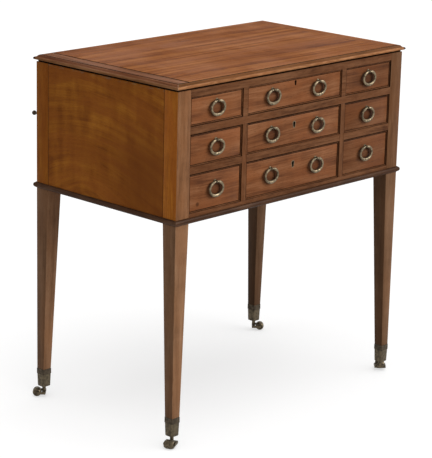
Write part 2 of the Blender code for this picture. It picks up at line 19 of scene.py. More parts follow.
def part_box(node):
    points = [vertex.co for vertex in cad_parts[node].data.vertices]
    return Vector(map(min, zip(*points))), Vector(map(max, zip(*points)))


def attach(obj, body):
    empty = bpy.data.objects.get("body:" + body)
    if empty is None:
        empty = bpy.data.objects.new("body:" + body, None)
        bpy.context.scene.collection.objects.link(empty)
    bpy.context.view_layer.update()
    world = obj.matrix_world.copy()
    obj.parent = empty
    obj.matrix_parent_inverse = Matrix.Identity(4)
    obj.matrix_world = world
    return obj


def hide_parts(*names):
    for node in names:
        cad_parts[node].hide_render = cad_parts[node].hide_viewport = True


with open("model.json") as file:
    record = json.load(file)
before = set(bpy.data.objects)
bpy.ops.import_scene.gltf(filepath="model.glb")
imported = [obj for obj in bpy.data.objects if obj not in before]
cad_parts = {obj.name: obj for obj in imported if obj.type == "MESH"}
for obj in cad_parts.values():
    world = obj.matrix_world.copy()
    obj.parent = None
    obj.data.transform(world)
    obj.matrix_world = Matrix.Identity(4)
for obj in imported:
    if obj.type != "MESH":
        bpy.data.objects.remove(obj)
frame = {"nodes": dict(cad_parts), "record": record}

MM = 0.001
IMAGE = (432, 458)
ROWS = ("upper", "lower")
PULLS = {"left": ("left",), "centre": ("centre_left", "centre_right"), "right": ("right",)}
CORNERS = ("front_left", "front_right", "back_left", "back_right")
ENDS = {"left": -1, "right": 1}
FRONT_TONES = {"left": 1.0, "centre": 1.0, "right": 0.74}
# Tone and band tone of each post; the back right post's low tone is painted shade, where the case shades it.
POST_TONES_AND_SHADE = ((1.0, 1.2), (0.7, 1.2), (1.0, 0.92), (0.45, 0.72))
RING = (41.6 * MM, 31.4 * MM)
SCUFF = (0.235, 0.160, 0.100)
# Near-black brown: painted shade on the walls of recesses, and the dark joints at the side boards' ends.
RECESS_SHADE_AND_SEAM = (0.012, 0.006, 0.003)
UP, DOWN, RIGHT, FORWARD, BACKWARD = (0, 0, 1), (0, 0, -1), (1, 0, 0), (0, -1, 0), (0, 1, 0)
TO_X = Matrix.Rotation(math.pi / 2, 4, "Y")
TO_FRONT = Matrix.Rotation(math.pi / 2, 4, "X")
TO_BACK = Matrix.Rotation(-math.pi / 2, 4, "X")
POST_SEED = 200
DRAWER_SEED = 300
SEED_STEP = 10

Colour = tuple[float, float, float]
Point = Sequence[float]
Piece = bpy.types.Object
Material = bpy.types.Material
Edge = bmesh.types.BMEdge
Face = bpy.types.MeshPolygon
Test = Callable[..., bool]

log = logging.getLogger("dressing_table")


class Grain(Enum):
    """The way a board's grain runs, as the turn that lays it along X."""

    ALONG_X = (0.0, 0.0, 0.0)
    ALONG_Y = (0.0, 0.0, -math.pi / 2)
    ALONG_Z = (0.0, math.pi / 2, 0.0)


class Part(Enum):
    """What the modelling tools pick, with the select mode of each."""

    FACES = ("faces", "FACE")
    EDGES = ("edges", "EDGE")
    CORNERS = ("verts", "VERT")


class Shading(Enum):
    """Largest angle in degrees that is shaded as one surface."""

    CRISP = 25.0
    FLAT = 30.0
    PLAIN = 35.0
    ROUND = 40.0
    KNOB = 50.0
    BEAD = 60.0
    WHOLE = 180.0


class Wire:
    """An output socket that stands in Python expressions; each operator adds a Math node."""

    def __init__(self, graph: "Graph", socket: bpy.types.NodeSocket) -> None:
        """Keep the socket with the graph that it belongs to."""
        self.graph = graph
        self.socket = socket

    def __add__(self, other: "Wire | float") -> "Wire":
        """Add a value or another wire."""
        return self.graph.maths("ADD", self, other)

    def __radd__(self, other: float) -> "Wire":
        """Add this wire to a value."""
        return self.graph.maths("ADD", other, self)

    def __sub__(self, other: "Wire | float") -> "Wire":
        """Take away a value or another wire."""
        return self.graph.maths("SUBTRACT", self, other)

    def __rsub__(self, other: float) -> "Wire":
        """Take this wire from a value."""
        return self.graph.maths("SUBTRACT", other, self)

    def __mul__(self, other: "Wire | float") -> "Wire":
        """Multiply by a value or another wire."""
        return self.graph.maths("MULTIPLY", self, other)

    def __rmul__(self, other: float) -> "Wire":
        """Multiply a value by this wire."""
        return self.graph.maths("MULTIPLY", other, self)


class Graph:
    """A node tree that is filled from expressions."""

    def __init__(self, tree: bpy.types.NodeTree) -> None:
        """Work in a tree that is already there."""
        self.tree = tree

    def node(self, kind: str, settings: dict | None = None, inputs: dict | None = None, output: int | str = 0) -> Wire:
        """Add a node of any kind.

        Args:
            kind: The node's type.
            settings: What is set before the sockets; "stops" are a ramp's (place, colour) pairs.
            inputs: Values or wires of the sockets, by name or number.
            output: The output socket that is wanted.

        Returns:
            A wire from that output.
        """
        node = self.tree.nodes.new(kind)
        for name, value in (settings or {}).items():
            if name == "stops":
                self.set_stops(node.color_ramp, value)
            else:
                setattr(node, name, value)
        for name, value in (inputs or {}).items():
            self.feed(node.inputs[name], value)
        return Wire(self, node.outputs[output])

    def set_stops(self, ramp: bpy.types.ColorRamp, stops: Sequence[tuple[float, Colour]]) -> None:
        """Give a colour ramp its stops.

        Args:
            ramp: The ramp to fill.
            stops: Place and colour of each stop, in order.
        """
        while len(ramp.elements) < len(stops):
            ramp.elements.new(1.0)
        for element, (place, colour) in zip(ramp.elements, stops):
            element.position = place
            element.color = (*colour, 1.0)

    def feed(self, socket: bpy.types.NodeSocket, value: object) -> None:
        """Link a wire to a socket, or set the socket's own value."""
        if isinstance(value, Wire):
            self.tree.links.new(value.socket, socket)
        elif socket.type == "RGBA":
            socket.default_value = (*value, 1.0)
        else:
            socket.default_value = value

    def maths(self, operation: str, first: Wire | float, second: Wire | float) -> Wire:
        """Add a Math node on two values."""
        return self.node("ShaderNodeMath", {"operation": operation}, {0: first, 1: second})

    def vector(self, operation: str, first: Wire | Point, second: Wire | Point) -> Wire:
        """Add a Vector Math node on two vectors."""
        return self.node("ShaderNodeVectorMath", {"operation": operation}, {0: first, 1: second})

    def distance(self, first: Wire, second: Point) -> Wire:
        """Measure how far a place lies from a point."""
        return self.node("ShaderNodeVectorMath", {"operation": "DISTANCE"}, {0: first, 1: second}, "Value")

    def axis(self, place: Wire, letter: str) -> Wire:
        """Take one axis of a place."""
        return self.node("ShaderNodeSeparateXYZ", {}, {0: place}, letter)

    def blend(self, factor: Wire | float, first: Wire | Colour, second: Wire | Colour, how: str = "MIX") -> Wire:
        """Mix two colours.

        Args:
            factor: Share of the second colour.
            first: Colour at factor 0.
            second: Colour at factor 1.
            how: Blend type of the Mix node.

        Returns:
            The mixed colour.
        """
        settings = {"data_type": "RGBA", "blend_type": how}
        return self.node("ShaderNodeMix", settings, {0: factor, 6: first, 7: second}, 2)

    def noise(self, place: Wire, stretch: Point, detail: float = 2.0, output: str = "Fac") -> Wire:
        """Add a noise whose three frequencies are per metre.

        Args:
            place: The coordinates that it reads.
            stretch: Frequency along each axis.
            detail: Number of finer layers.
            output: The noise's value or its colour.

        Returns:
            A wire from that output.
        """
        scaled = self.vector("MULTIPLY", place, stretch)
        return self.node("ShaderNodeTexNoise", {}, {"Vector": scaled, "Scale": 1.0, "Detail": detail}, output)

    def step(self, value: Wire, start: float, end: float) -> Wire:
        """Go from 0 to 1 as a value goes from start to end."""
        settings = {"interpolation_type": "SMOOTHSTEP"}
        return self.node("ShaderNodeMapRange", settings, {"Value": value, "From Min": start, "From Max": end})

    def fade(self, value: Wire, start: float, end: float) -> Wire:
        """Go from 1 to 0 as a value goes from start to end."""
        return 1 - self.step(value, start, end)


def new_material(name: str, sockets: Callable[[Graph], dict[str, object]]) -> Material:
    """Make a material round a Principled shader.

    Args:
        name: The material's name.
        sockets: Builds the nodes and returns what goes into the shader's sockets.

    Returns:
        The material.
    """
    material = bpy.data.materials.new(name)
    material.use_nodes = True
    graph = Graph(material.node_tree)
    shader = material.node_tree.nodes["Principled BSDF"]
    for socket, value in sockets(graph).items():
        graph.feed(shader.inputs[socket], value)
    return material


def tinted(colour: Colour, by: float) -> Colour:
    """Scale a colour's brightness."""
    return tuple(min(1.0, channel * by) for channel in colour)


@dataclass(frozen=True)
class Marks:
    """What sets one board apart from others of its timber, with light and shade painted on it in places.

    Attributes:
        wear_and_highlight: How far the wood turns paler where its polish is rubbed away, which on rounded edges also
            stands as a painted highlight.
        tone: Brightness of the board among its fellows, which in some places is lowered as painted shade or raised as
            painted light.
        knot: Centre of a small pin knot.
        pulls: Middles of the rings that hang before the board, round which each ring's shadow is painted into the wood.
        heart: Point that the grain curls round, seen along X.
        blush: Centre of a broad reddish patch.
        crest: Height of an upper edge that is scuffed.
        recess_shade: Y of a front, behind which the walls of a recess are painted darker as shade.
        shade_strength: How dark that painted shade is.
        foot: Height below which the board is darker towards the bottom.
        seam: Distance from the middle to the dark joints at the board's ends, along Y.
    """

    wear_and_highlight: float = 0.0
    tone: float = 1.0
    knot: Point | None = None
    pulls: tuple[Point, ...] = ()
    heart: Point | None = None
    blush: Point | None = None
    crest: float | None = None
    recess_shade: float | None = None
    shade_strength: float = 0.6
    foot: float | None = None
    seam: float | None = None


@dataclass(frozen=True)
class Wood:
    """A polished timber with bands, streaks, cross figure, flushes of colour and pores along its grain."""

    name: str
    slot: str
    dark: Colour
    mid: Colour
    light: Colour
    flush: Colour
    band: float = 20 * MM
    stretch: float = 14.0
    sway: float = 8 * MM
    figure: float = 0.25
    depth: float = 1.0
    polish: float = 0.42
    gloss: float = 0.15

    def material(self, grain: Grain, seed: int, marks: Marks = Marks()) -> Material:
        """Make the finish of one board.

        Args:
            grain: The way that the board's grain runs.
            seed: Which part of the log the board came from.
            marks: What sets the board apart.

        Returns:
            The material.
        """
        colours = {part: tinted(getattr(self, part), marks.tone) for part in ("dark", "mid", "light", "flush")}
        board = replace(self, **colours)
        name = f"{self.name}_{grain.name.lower()}_{seed}"
        return new_material(name, lambda graph: board.sockets(graph, grain, seed, marks))

    def sockets(self, g: Graph, grain: Grain, seed: int, marks: Marks) -> dict[str, object]:
        """Build the grain.

        Args:
            g: The graph to build in.
            grain: The way that the grain runs.
            seed: Which part of the log is used.
            marks: What sets the board apart.

        Returns:
            Values and wires by shader socket.
        """
        log_place = (seed * 1.37 % 9, seed * 0.73 % 7, seed * 0.91 % 5)
        place = g.node("ShaderNodeTexCoord", output="Object")
        run = g.node("ShaderNodeMapping", {}, {"Vector": place, "Location": log_place, "Rotation": grain.value})
        if marks.heart is not None:
            run = self.curled(g, place, marks.heart)
        drift = g.noise(run, (1.6, 5.0, 5.0), 1.0, "Color")
        drift = g.vector("MULTIPLY", g.vector("SUBTRACT", drift, (0.5, 0.5, 0.5)), (0.0, 6 * self.sway, 6 * self.sway))
        run = g.vector("ADD", run, drift)
        across = 1 / self.band
        bands = g.noise(run, (across / self.stretch, across, across), 2.0)
        streaks = g.noise(run, (2.8 * across / self.stretch, across * 7, across * 7), 3.0)
        pores = g.step(g.noise(run, (90.0, 1500.0, 1500.0), 1.0), 0.60, 0.68)
        ripple = g.noise(run, (34.0, 11.0, 11.0), 2.0)
        tone = 0.5 + self.depth * (1.1 * (bands - 0.5) + 0.7 * (streaks - 0.5)) + self.figure * (ripple - 0.5)
        stops = [(0.28, self.dark), (0.5, self.mid), (0.72, self.light)]
        colour = g.node("ShaderNodeValToRGB", {"stops": stops}, {"Fac": tone})
        cloud = g.step(g.noise(run, (7.0, 26.0, 26.0), 2.0), 0.42, 0.64)
        colour = g.blend(0.6 * cloud, colour, self.flush)
        colour = g.blend(0.4 * pores, colour, tinted(self.dark, 0.45))
        age = g.step(g.noise(place, (6.0, 6.0, 6.0), 3.0), 0.38, 0.66)
        colour = g.blend(0.22 * age, colour, (0.42, 0.36, 0.32), "MULTIPLY")
        colour = self.marked(g, place, run, colour, marks)
        height = 0.3 * streaks + 0.2 * bands - 0.6 * pores
        normal = g.node("ShaderNodeBump", {}, {"Strength": 0.35, "Distance": 0.15 * MM, "Height": height}, "Normal")
        return {
            "Base Color": colour,
            "Roughness": self.polish + 0.25 * (streaks - 0.5) + 0.1 * pores + 0.12 * (age - 0.5),
            "Specular IOR Level": self.gloss,
            "Normal": normal,
        }

    def curled(self, g: Graph, place: Wire, heart: Point) -> Wire:
        """Lay the grain in arches over a heart.

        Args:
            g: The graph to build in.
            place: Object coordinates.
            heart: Point that the grain curls round, seen along X.

        Returns:
            Coordinates that run along the arches in X and away from the heart in Y.
        """
        flat = g.vector("MULTIPLY", g.vector("SUBTRACT", place, heart), (0.0, 1.0, 1.0))
        away = g.distance(flat, (0, 0, 0))
        along, above = g.axis(flat, "Y"), g.axis(flat, "Z")
        return g.node("ShaderNodeCombineXYZ", {}, {0: along, 1: 0.45 * away + 0.75 * above, 2: heart[1]})

    def marked(self, g: Graph, place: Wire, run: Wire, colour: Wire, marks: Marks) -> Wire:
        """Add the marks of one board to its colour.

        Args:
            g: The graph to build in.
            place: Object coordinates.
            run: Coordinates along the grain.
            colour: The timber's colour.
            marks: What sets the board apart.

        Returns:
            The board's colour.
        """
        if marks.knot is not None:
            spot = g.fade(g.distance(place, marks.knot), 2.5 * MM, 7 * MM)
            colour = g.blend(0.8 * spot, colour, tinted(self.dark, 0.6))
        # Painted shadow of each ring on the wood, in an oval round its middle.
        for pull in marks.pulls:
            oval = g.vector("DIVIDE", g.vector("SUBTRACT", place, pull), (RING[0] / 2, 1.0, RING[1] / 2))
            span = g.distance(oval, (0, 0, 0))
            shade = (0.5 + 0.5 * g.step(span, 0.35, 0.85)) * g.fade(span, 1.0, 1.3)
            colour = g.blend(0.75 * shade, colour, tinted(self.dark, 0.35))
        # Paler patches where polish is rubbed away; on rounded edges they also stand as painted highlight.
        if marks.wear_and_highlight:
            wear_light_and_shade = g.step(g.noise(run, (45.0, 260.0, 260.0), 3.0), 0.40, 0.64)
            colour = g.blend(marks.wear_and_highlight * wear_light_and_shade, colour, tinted(self.light, 1.3))
        if marks.blush is not None:
            patch = g.fade(g.distance(place, marks.blush), 20 * MM, 170 * MM)
            colour = g.blend(0.8 * patch, colour, tinted(self.flush, 0.68))
        if marks.crest is not None:
            ragged = g.step(g.noise(place, (45.0, 45.0, 260.0), 3.0), 0.50, 0.62)
            upper = g.step(g.axis(place, "Z"), marks.crest - 7 * MM, marks.crest - 2 * MM)
            colour = g.blend(0.6 * ragged * upper, colour, SCUFF)
        # Painted shade on the walls of a recess, darkest just behind the front.
        if marks.recess_shade is not None:
            behind = g.axis(place, "Y")
            recess_shade = g.step(behind, marks.recess_shade + 0.4 * MM, marks.recess_shade + 1.6 * MM)
            recess_shade = recess_shade * g.fade(behind, marks.recess_shade + 15 * MM, marks.recess_shade + 60 * MM)
            colour = g.blend(marks.shade_strength * recess_shade, colour, RECESS_SHADE_AND_SEAM)
        if marks.foot is not None:
            lower = g.fade(g.axis(place, "Z"), 0.3 * marks.foot, marks.foot)
            colour = g.blend(0.28 * lower, colour, tinted(self.dark, 0.4))
        if marks.seam is not None:
            away = g.maths("ABSOLUTE", g.axis(place, "Y"), 0.0)
            joint = g.step(away, marks.seam - 2.2 * MM, marks.seam - 0.8 * MM)
            colour = g.blend(0.55 * joint, colour, RECESS_SHADE_AND_SEAM)
        return colour


@dataclass(frozen=True)
class AgedMetal:
    """A yellow metal under old lacquer, dulled in patches and rubbed bright between them."""

    name: str
    slot: str
    bright: Colour
    dull: Colour
    polish: float = 0.3
    tarnish: float = 0.6

    def material(self, seed: int) -> Material:
        """Make the finish of one fitting."""
        return new_material(f"{self.name}_{seed}", lambda g: self.sockets(g, seed))

    def sockets(self, g: Graph, seed: int) -> dict[str, object]:
        """Build the tarnish.

        Args:
            g: The graph to build in.
            seed: Shifts the patches.

        Returns:
            Values and wires by shader socket.
        """
        place = g.node("ShaderNodeTexCoord", output="Object")
        place = g.node("ShaderNodeMapping", {}, {"Vector": place, "Location": (seed * 0.31, seed * 0.17, seed * 0.23)})
        patches = g.step(g.noise(place, (160.0, 160.0, 160.0), 4.0), 0.36, 0.66)
        specks = g.step(g.noise(place, (1100.0, 1100.0, 1100.0), 2.0), 0.58, 0.68)
        dulled = self.tarnish * patches
        colour = g.blend(dulled, self.bright, self.dull)
        colour = g.blend(0.5 * specks, colour, tinted(self.dull, 0.4))
        height = g.noise(place, (420.0, 420.0, 420.0), 3.0) - 0.4 * specks
        normal = g.node("ShaderNodeBump", {}, {"Strength": 0.2, "Distance": 0.1 * MM, "Height": height}, "Normal")
        return {
            "Base Color": colour,
            "Metallic": 1 - 0.45 * dulled,
            "Roughness": self.polish + 0.28 * dulled + 0.2 * specks,
            "Specular IOR Level": 0.3,
            "Normal": normal,
        }

    def cover(self, piece: Piece, seed: int, body: str, *nodes: str) -> None:
        """Give a piece this finish all over, and hang it.

        Args:
            piece: The piece.
            seed: Shifts the patches.
            body: The body that it moves with.
            nodes: CAD nodes that it stands for.
        """
        fit(paint(piece, (self.material(seed), None)), body, self.slot, *nodes)


TOP = Wood("top_wood", "top_mahogany", (0.165, 0.047, 0.013), (0.325, 0.102, 0.024), (0.450, 0.168, 0.048),
           (0.355, 0.125, 0.045), band=19 * MM, stretch=36.0, sway=6 * MM, depth=1.15, polish=0.5, gloss=0.01)
CLEAT = Wood("cleat_wood", "top_mahogany", (0.170, 0.066, 0.029), (0.265, 0.108, 0.050), (0.360, 0.162, 0.083),
             (0.275, 0.104, 0.044), band=12 * MM, polish=0.5, gloss=0.01)
EDGE = Wood("edge_wood", "top_mahogany", (0.220, 0.090, 0.034), (0.350, 0.150, 0.058), (0.460, 0.215, 0.095),
            (0.370, 0.140, 0.050), band=9 * MM, gloss=0.02)
COVE = Wood("cove_wood", "top_mahogany", (0.140, 0.048, 0.021), (0.240, 0.090, 0.040), (0.320, 0.130, 0.062),
            (0.255, 0.084, 0.032), band=9 * MM, gloss=0.02)
BARE = Wood("bare_wood", "top_mahogany", (0.340, 0.240, 0.170), (0.480, 0.370, 0.280), (0.600, 0.490, 0.390),
            (0.500, 0.380, 0.280), polish=0.7, gloss=0.02)
FRONT = Wood("front_wood", "front_mahogany", (0.130, 0.044, 0.017), (0.245, 0.091, 0.035), (0.345, 0.146, 0.064),
             (0.280, 0.092, 0.030), band=20 * MM, depth=0.9, gloss=0.05)
POST = Wood("post_wood", "front_mahogany", (0.175, 0.075, 0.032), (0.260, 0.116, 0.050), (0.330, 0.160, 0.076),
            (0.270, 0.110, 0.042), band=10 * MM, depth=0.8, gloss=0.05)
RAIL = Wood("rail_wood", "front_mahogany", (0.080, 0.028, 0.010), (0.146, 0.057, 0.022), (0.215, 0.092, 0.040),
            (0.155, 0.054, 0.018), band=10 * MM, gloss=0.05)
SIDE = Wood("side_wood", "side_mahogany", (0.220, 0.062, 0.008), (0.335, 0.108, 0.013), (0.430, 0.155, 0.019),
            (0.300, 0.084, 0.013), band=17 * MM, sway=14 * MM, figure=0.75, depth=0.6, gloss=0.03)
BAND = Wood("band_wood", "side_mahogany", (0.250, 0.074, 0.011), (0.360, 0.116, 0.015), (0.450, 0.160, 0.022),
            (0.340, 0.096, 0.014), band=7 * MM, depth=0.6, gloss=0.03)
LEG = Wood("leg_wood", "leg_mahogany", (0.190, 0.092, 0.044), (0.310, 0.160, 0.082), (0.400, 0.220, 0.120),
           (0.300, 0.140, 0.064), band=12 * MM, sway=3 * MM, depth=0.6, gloss=0.05)
MOULDING = Wood("moulding_wood", "moulding_mahogany", (0.040, 0.016, 0.007), (0.070, 0.030, 0.014),
                (0.125, 0.060, 0.030), (0.075, 0.030, 0.012), band=8 * MM, gloss=0.06)
OAK = Wood("lining_oak", "lining_oak", (0.215, 0.120, 0.052), (0.330, 0.195, 0.092), (0.430, 0.270, 0.140),
           (0.340, 0.195, 0.088), band=7 * MM, polish=0.68, gloss=0.05)
# Near-black wood: painted shade in the lid's band and groove and in the keyholes, and the dark open joint of the lid's
# left cleat.
SHADE_AND_JOINT_BLACK = Wood("grime", "front_mahogany", (0.006, 0.003, 0.001), (0.012, 0.006, 0.003), (0.022, 0.011, 0.005),
             (0.014, 0.007, 0.003), polish=0.85, gloss=0.01)
BRASS = AgedMetal("ring_brass", "ring_brass", (0.245, 0.190, 0.118), (0.090, 0.068, 0.040), 0.34, 0.85)
STUD = AgedMetal("stud_brass", "ring_brass", (0.120, 0.090, 0.053), (0.070, 0.051, 0.029), 0.45, 0.85)
BRONZE = AgedMetal("caster_bronze", "caster_bronze", (0.125, 0.098, 0.062), (0.068, 0.052, 0.032), 0.40, 0.85)
COLLAR = AgedMetal("collar_bronze", "caster_bronze", (0.085, 0.064, 0.043), (0.055, 0.041, 0.027), 0.50, 0.85)
HINGE = AgedMetal("hinge_brass", "hinge_brass", (0.420, 0.310, 0.150), (0.100, 0.066, 0.030), 0.36, 0.7)
KNOB = AgedMetal("knob_bronze", "knob_bronze", (0.050, 0.036, 0.024), (0.012, 0.009, 0.006), 0.34, 0.8)
# Rail wood darkened as painted shade in the grooves and along the sides of the beads.
QUIRK_SHADE = Marks(tone=0.35)
# Rail wood lightened on the bottom run of the grooves and beads, a painted light against the shade that falls there.
SILL_PAINTED_LIGHT = Marks(tone=1.2)


class Bench:
    """One mesh under the tools: a primitive at its size and place, then shaped in edit mode."""

    def __init__(self, name: str, add: Callable[..., object], **settings: object) -> None:
        """Add a primitive and open it for editing.

        Args:
            name: Name of the piece.
            add: The operator that adds the primitive.
            settings: The primitive's size, place and facets.
        """
        bpy.ops.object.select_all(action="DESELECT")
        add(**settings)
        self.piece = bpy.context.active_object
        self.piece.name = name
        bpy.ops.object.transform_apply(location=True, rotation=True, scale=True)
        bpy.ops.object.mode_set(mode="EDIT")

    @classmethod
    def box(cls, name: str, low: Point, high: Point) -> "Bench":
        """Start from a block.

        Args:
            name: Name of the piece.
            low: Its lowest corner.
            high: Its highest corner.

        Returns:
            The bench with the block on it.
        """
        low, high = Vector(low), Vector(high)
        return cls(name, bpy.ops.mesh.primitive_cube_add, size=1, location=(low + high) / 2, scale=high - low)

    @classmethod
    def turned(cls, name: str, profile: Sequence[tuple[float, float]], steps: int = 32) -> "Bench":
        """Turn a piece about Z, as on a lathe.

        Args:
            name: Name of the piece.
            profile: Radius and height of each point, in order; a bored piece ends where it starts.
            steps: Number of facets round the piece.

        Returns:
            The bench with the turned piece on it.
        """
        bench = cls(name, bpy.ops.mesh.primitive_plane_add, size=MM).pick_all()
        bpy.ops.mesh.merge(type="CENTER")
        bench.move((profile[0][0], 0, profile[0][1]))
        for (radius, height), (next_radius, next_height) in zip(profile, profile[1:]):
            by = (next_radius - radius, 0, next_height - height)
            bpy.ops.mesh.extrude_vertices_move(TRANSFORM_OT_translate={"value": by})
        bench.pick_all()
        bpy.ops.mesh.spin(steps=steps, angle=math.tau, center=(0, 0, 0), axis=UP)
        return bench.close()

    def pick(self, part: Part, test: Test) -> "Bench":
        """Select by place or normal.

        Args:
            part: Faces, edges or corners.
            test: Tells whether one of them is wanted.

        Returns:
            The bench.
        """
        bpy.ops.mesh.select_mode(type=part.value[1])
        bpy.ops.mesh.select_all(action="DESELECT")
        mesh = bmesh.from_edit_mesh(self.piece.data)
        mesh.normal_update()
        for element in getattr(mesh, part.value[0]):
            if test(element):
                element.select_set(True)
        mesh.select_flush_mode()
        bmesh.update_edit_mesh(self.piece.data)
        return self

    def pick_all(self) -> "Bench":
        """Select the whole mesh."""
        bpy.ops.mesh.select_mode(type="VERT")
        bpy.ops.mesh.select_all(action="SELECT")
        return self

    def facing(self, way: Point) -> "Bench":
        """Select the faces that look one way."""
        return self.pick(Part.FACES, lambda face: looks(face, way))

    def extrude(self, by: Point) -> "Bench":
        """Extrude what is picked."""
        bpy.ops.mesh.extrude_region_move(TRANSFORM_OT_translate={"value": tuple(by)})
        return self

    def move(self, by: Point) -> "Bench":
        """Move what is picked."""
        bpy.ops.transform.translate(value=tuple(by))
        return self

    def resize(self, by: Point, centre: Point) -> "Bench":
        """Scale what is picked about a point."""
        bpy.ops.transform.resize(value=tuple(by), center_override=tuple(centre))
        return self

    def inset(self, width: float) -> "Bench":
        """Inset each picked face."""
        bpy.ops.mesh.inset(thickness=width, use_even_offset=True, use_individual=True)
        return self

    def bevel(self, width: float, segments: int = 2) -> "Bench":
        """Round the picked edges."""
        bpy.ops.mesh.bevel(offset=width, segments=segments, profile=0.5, affect="EDGES", clamp_overlap=True)
        return self

    def ease(self, width: float, test: Test, segments: int = 2) -> "Bench":
        """Pick edges and round them."""
        return self.pick(Part.EDGES, test).bevel(width, segments)

    def cut(self, way: Point, point: Point, normal: Point) -> "Bench":
        """Divide the faces that look one way along a plane.

        Args:
            way: The faces' normal.
            point: A point of the plane.
            normal: The plane's normal.

        Returns:
            The bench.
        """
        self.facing(way)
        bpy.ops.mesh.bisect(plane_co=tuple(point), plane_no=tuple(normal))
        return self

    def climb(self, sections: Iterable[tuple[float, float, float]], start: tuple[float, float, float]) -> "Bench":
        """Carry the top face up through a run of rectangular sections about the Z axis.

        Args:
            sections: Half width, half depth and height of each section.
            start: The section that the top face has now.

        Returns:
            The bench.
        """
        self.facing(UP)
        wide, deep, level = start
        for next_wide, next_deep, height in sections:
            self.extrude((0, 0, height - level))
            self.resize((next_wide / wide, next_deep / deep, 1), (0, 0, height))
            wide, deep, level = next_wide, next_deep, height
        return self

    def open_through(self, way: Point, width: float) -> "Bench":
        """Leave only a frame, open from one face to the face opposite.

        Args:
            way: Normal of the faces that are opened.
            width: Width of the frame.

        Returns:
            The bench.
        """
        opposite = -Vector(way)
        self.pick(Part.FACES, lambda face: looks(face, way) or looks(face, opposite)).inset(width)
        bpy.ops.mesh.delete(type="FACE")
        bpy.ops.mesh.select_mode(type="EDGE")
        bpy.ops.mesh.select_all(action="DESELECT")
        bpy.ops.mesh.select_non_manifold()
        bpy.ops.mesh.bridge_edge_loops()
        return self.close()

    def close(self) -> "Bench":
        """Merge doubles and turn the faces outwards."""
        self.pick_all()
        bpy.ops.mesh.remove_doubles(threshold=0.001 * MM)
        bpy.ops.mesh.normals_make_consistent(inside=False)
        return self

    def done(self, shading: Shading = Shading.PLAIN) -> Piece:
        """Leave edit mode.

        Args:
            shading: Largest angle that is shaded as one surface.

        Returns:
            The finished mesh.
        """
        bpy.ops.object.mode_set(mode="OBJECT")
        bpy.ops.object.shade_smooth_by_angle(angle=math.radians(shading.value))
        return self.piece


def near(value: float, wanted: float) -> bool:
    """Tell whether two lengths are the same within a hundredth of a millimetre."""
    return abs(value - wanted) < 0.01 * MM


def looks(face: bmesh.types.BMFace, way: Point) -> bool:
    """Tell whether a face looks one way."""
    return face.normal.dot(Vector(way)) > 0.99


def edge_run(edge: Edge) -> Vector:
    """Give an edge's run from one end to the other."""
    return edge.verts[1].co - edge.verts[0].co


def lies_at(edge: Edge, axis: int, level: float) -> bool:
    """Tell whether both ends of an edge lie at one level of an axis."""
    return all(near(v.co[axis], level) for v in edge.verts)


def every(_: Edge) -> bool:
    """Take any edge."""
    return True


def outermost(first: float, second: float) -> float:
    """Give the one of two places that lies farther from the middle."""
    return max(first, second, key=abs)


def node_middle(node: str) -> Vector:
    """Give the middle of a node's box."""
    low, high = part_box(node)
    return (low + high) / 2


def case_face() -> float:
    """Give the Y of the rails' faces, at the front of the case."""
    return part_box("sham_front")[0].y


def ball_profile(ball: float, neck: float, height: float, steps: int) -> list[tuple[float, float]]:
    """Give the profile of a turned ball, from its neck to its pole.

    Args:
        ball: Radius of the ball.
        neck: Radius of the neck that carries it.
        height: Height of its middle.
        steps: Number of steps along it.

    Returns:
        Radius and height of each point.
    """
    start = math.asin(neck / ball)
    turns = [start + (math.pi - start) * step / steps for step in range(steps + 1)]
    return [(ball * math.sin(turn), height - ball * math.cos(turn)) for turn in turns]


def paint(piece: Piece, *coats: tuple[Material, Test | None]) -> Piece:
    """Give a piece its finishes.

    Args:
        piece: The piece.
        coats: Each material with a test of the faces that it covers, or None for all; a later coat covers earlier ones.

    Returns:
        The piece.
    """
    piece.data.materials.clear()
    for index, (material, test) in enumerate(coats):
        piece.data.materials.append(material)
        for face in piece.data.polygons:
            if test is None or test(face):
                face.material_index = index
    return piece


def arris(face: Face) -> bool:
    """Tell whether a face is on a rounded edge, and so looks along no axis."""
    return max(abs(part) for part in face.normal) < 0.95


def copied(piece: Piece, name: str, place: Matrix) -> Piece:
    """Copy a piece with its own mesh.

    Args:
        piece: The piece to copy.
        name: Name of the copy.
        place: Where the copy goes, worked into its mesh.

    Returns:
        The copy.
    """
    twin = piece.copy()
    twin.data = piece.data.copy()
    twin.name = name
    twin.data.transform(place)
    if place.determinant() < 0:
        twin.data.flip_normals()
    bpy.context.scene.collection.objects.link(twin)
    return twin


def select_only(*pieces: Piece) -> None:
    """Select some pieces and nothing else, with the last one active.

    Args:
        pieces: The pieces.
    """
    bpy.ops.object.select_all(action="DESELECT")
    for piece in pieces:
        piece.select_set(True)
    bpy.context.view_layer.objects.active = pieces[-1]


def discard(*pieces: Piece) -> None:
    """Take away pieces that were only copied or cut with."""
    for piece in pieces:
        bpy.data.objects.remove(piece)


def joined(piece: Piece, *others: Piece) -> Piece:
    """Join pieces into the first one.

    Args:
        piece: The first piece.
        others: The pieces that become part of it.

    Returns:
        The first piece.
    """
    select_only(*others, piece)
    bpy.ops.object.join()
    return piece


def bored(piece: Piece, drill: Piece, shading: Shading = Shading.PLAIN) -> Piece:
    """Cut one solid out of a piece.

    Args:
        piece: The piece.
        drill: The solid, which is used up.
        shading: Largest angle that is shaded as one surface.

    Returns:
        The piece.
    """
    cut = piece.modifiers.new("bore", "BOOLEAN")
    cut.object = drill
    cut.operation = "DIFFERENCE"
    select_only(piece)
    bpy.ops.object.modifier_apply(modifier=cut.name)
    bpy.ops.object.shade_smooth_by_angle(angle=math.radians(shading.value))
    discard(drill)
    return piece


def fit(piece: Piece, body: str, slot: str, *nodes: str) -> None:
    """Hang a finished piece on its body and report it.

    Args:
        piece: The piece.
        body: The body that it moves with.
        slot: The record's material slot; it is not used.
        nodes: CAD nodes that it stands for.
    """
    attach(piece, body)
    if nodes:
        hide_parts(*nodes)
    log.info("%s rides on %s with %d faces", piece.name, body, len(piece.data.polygons))


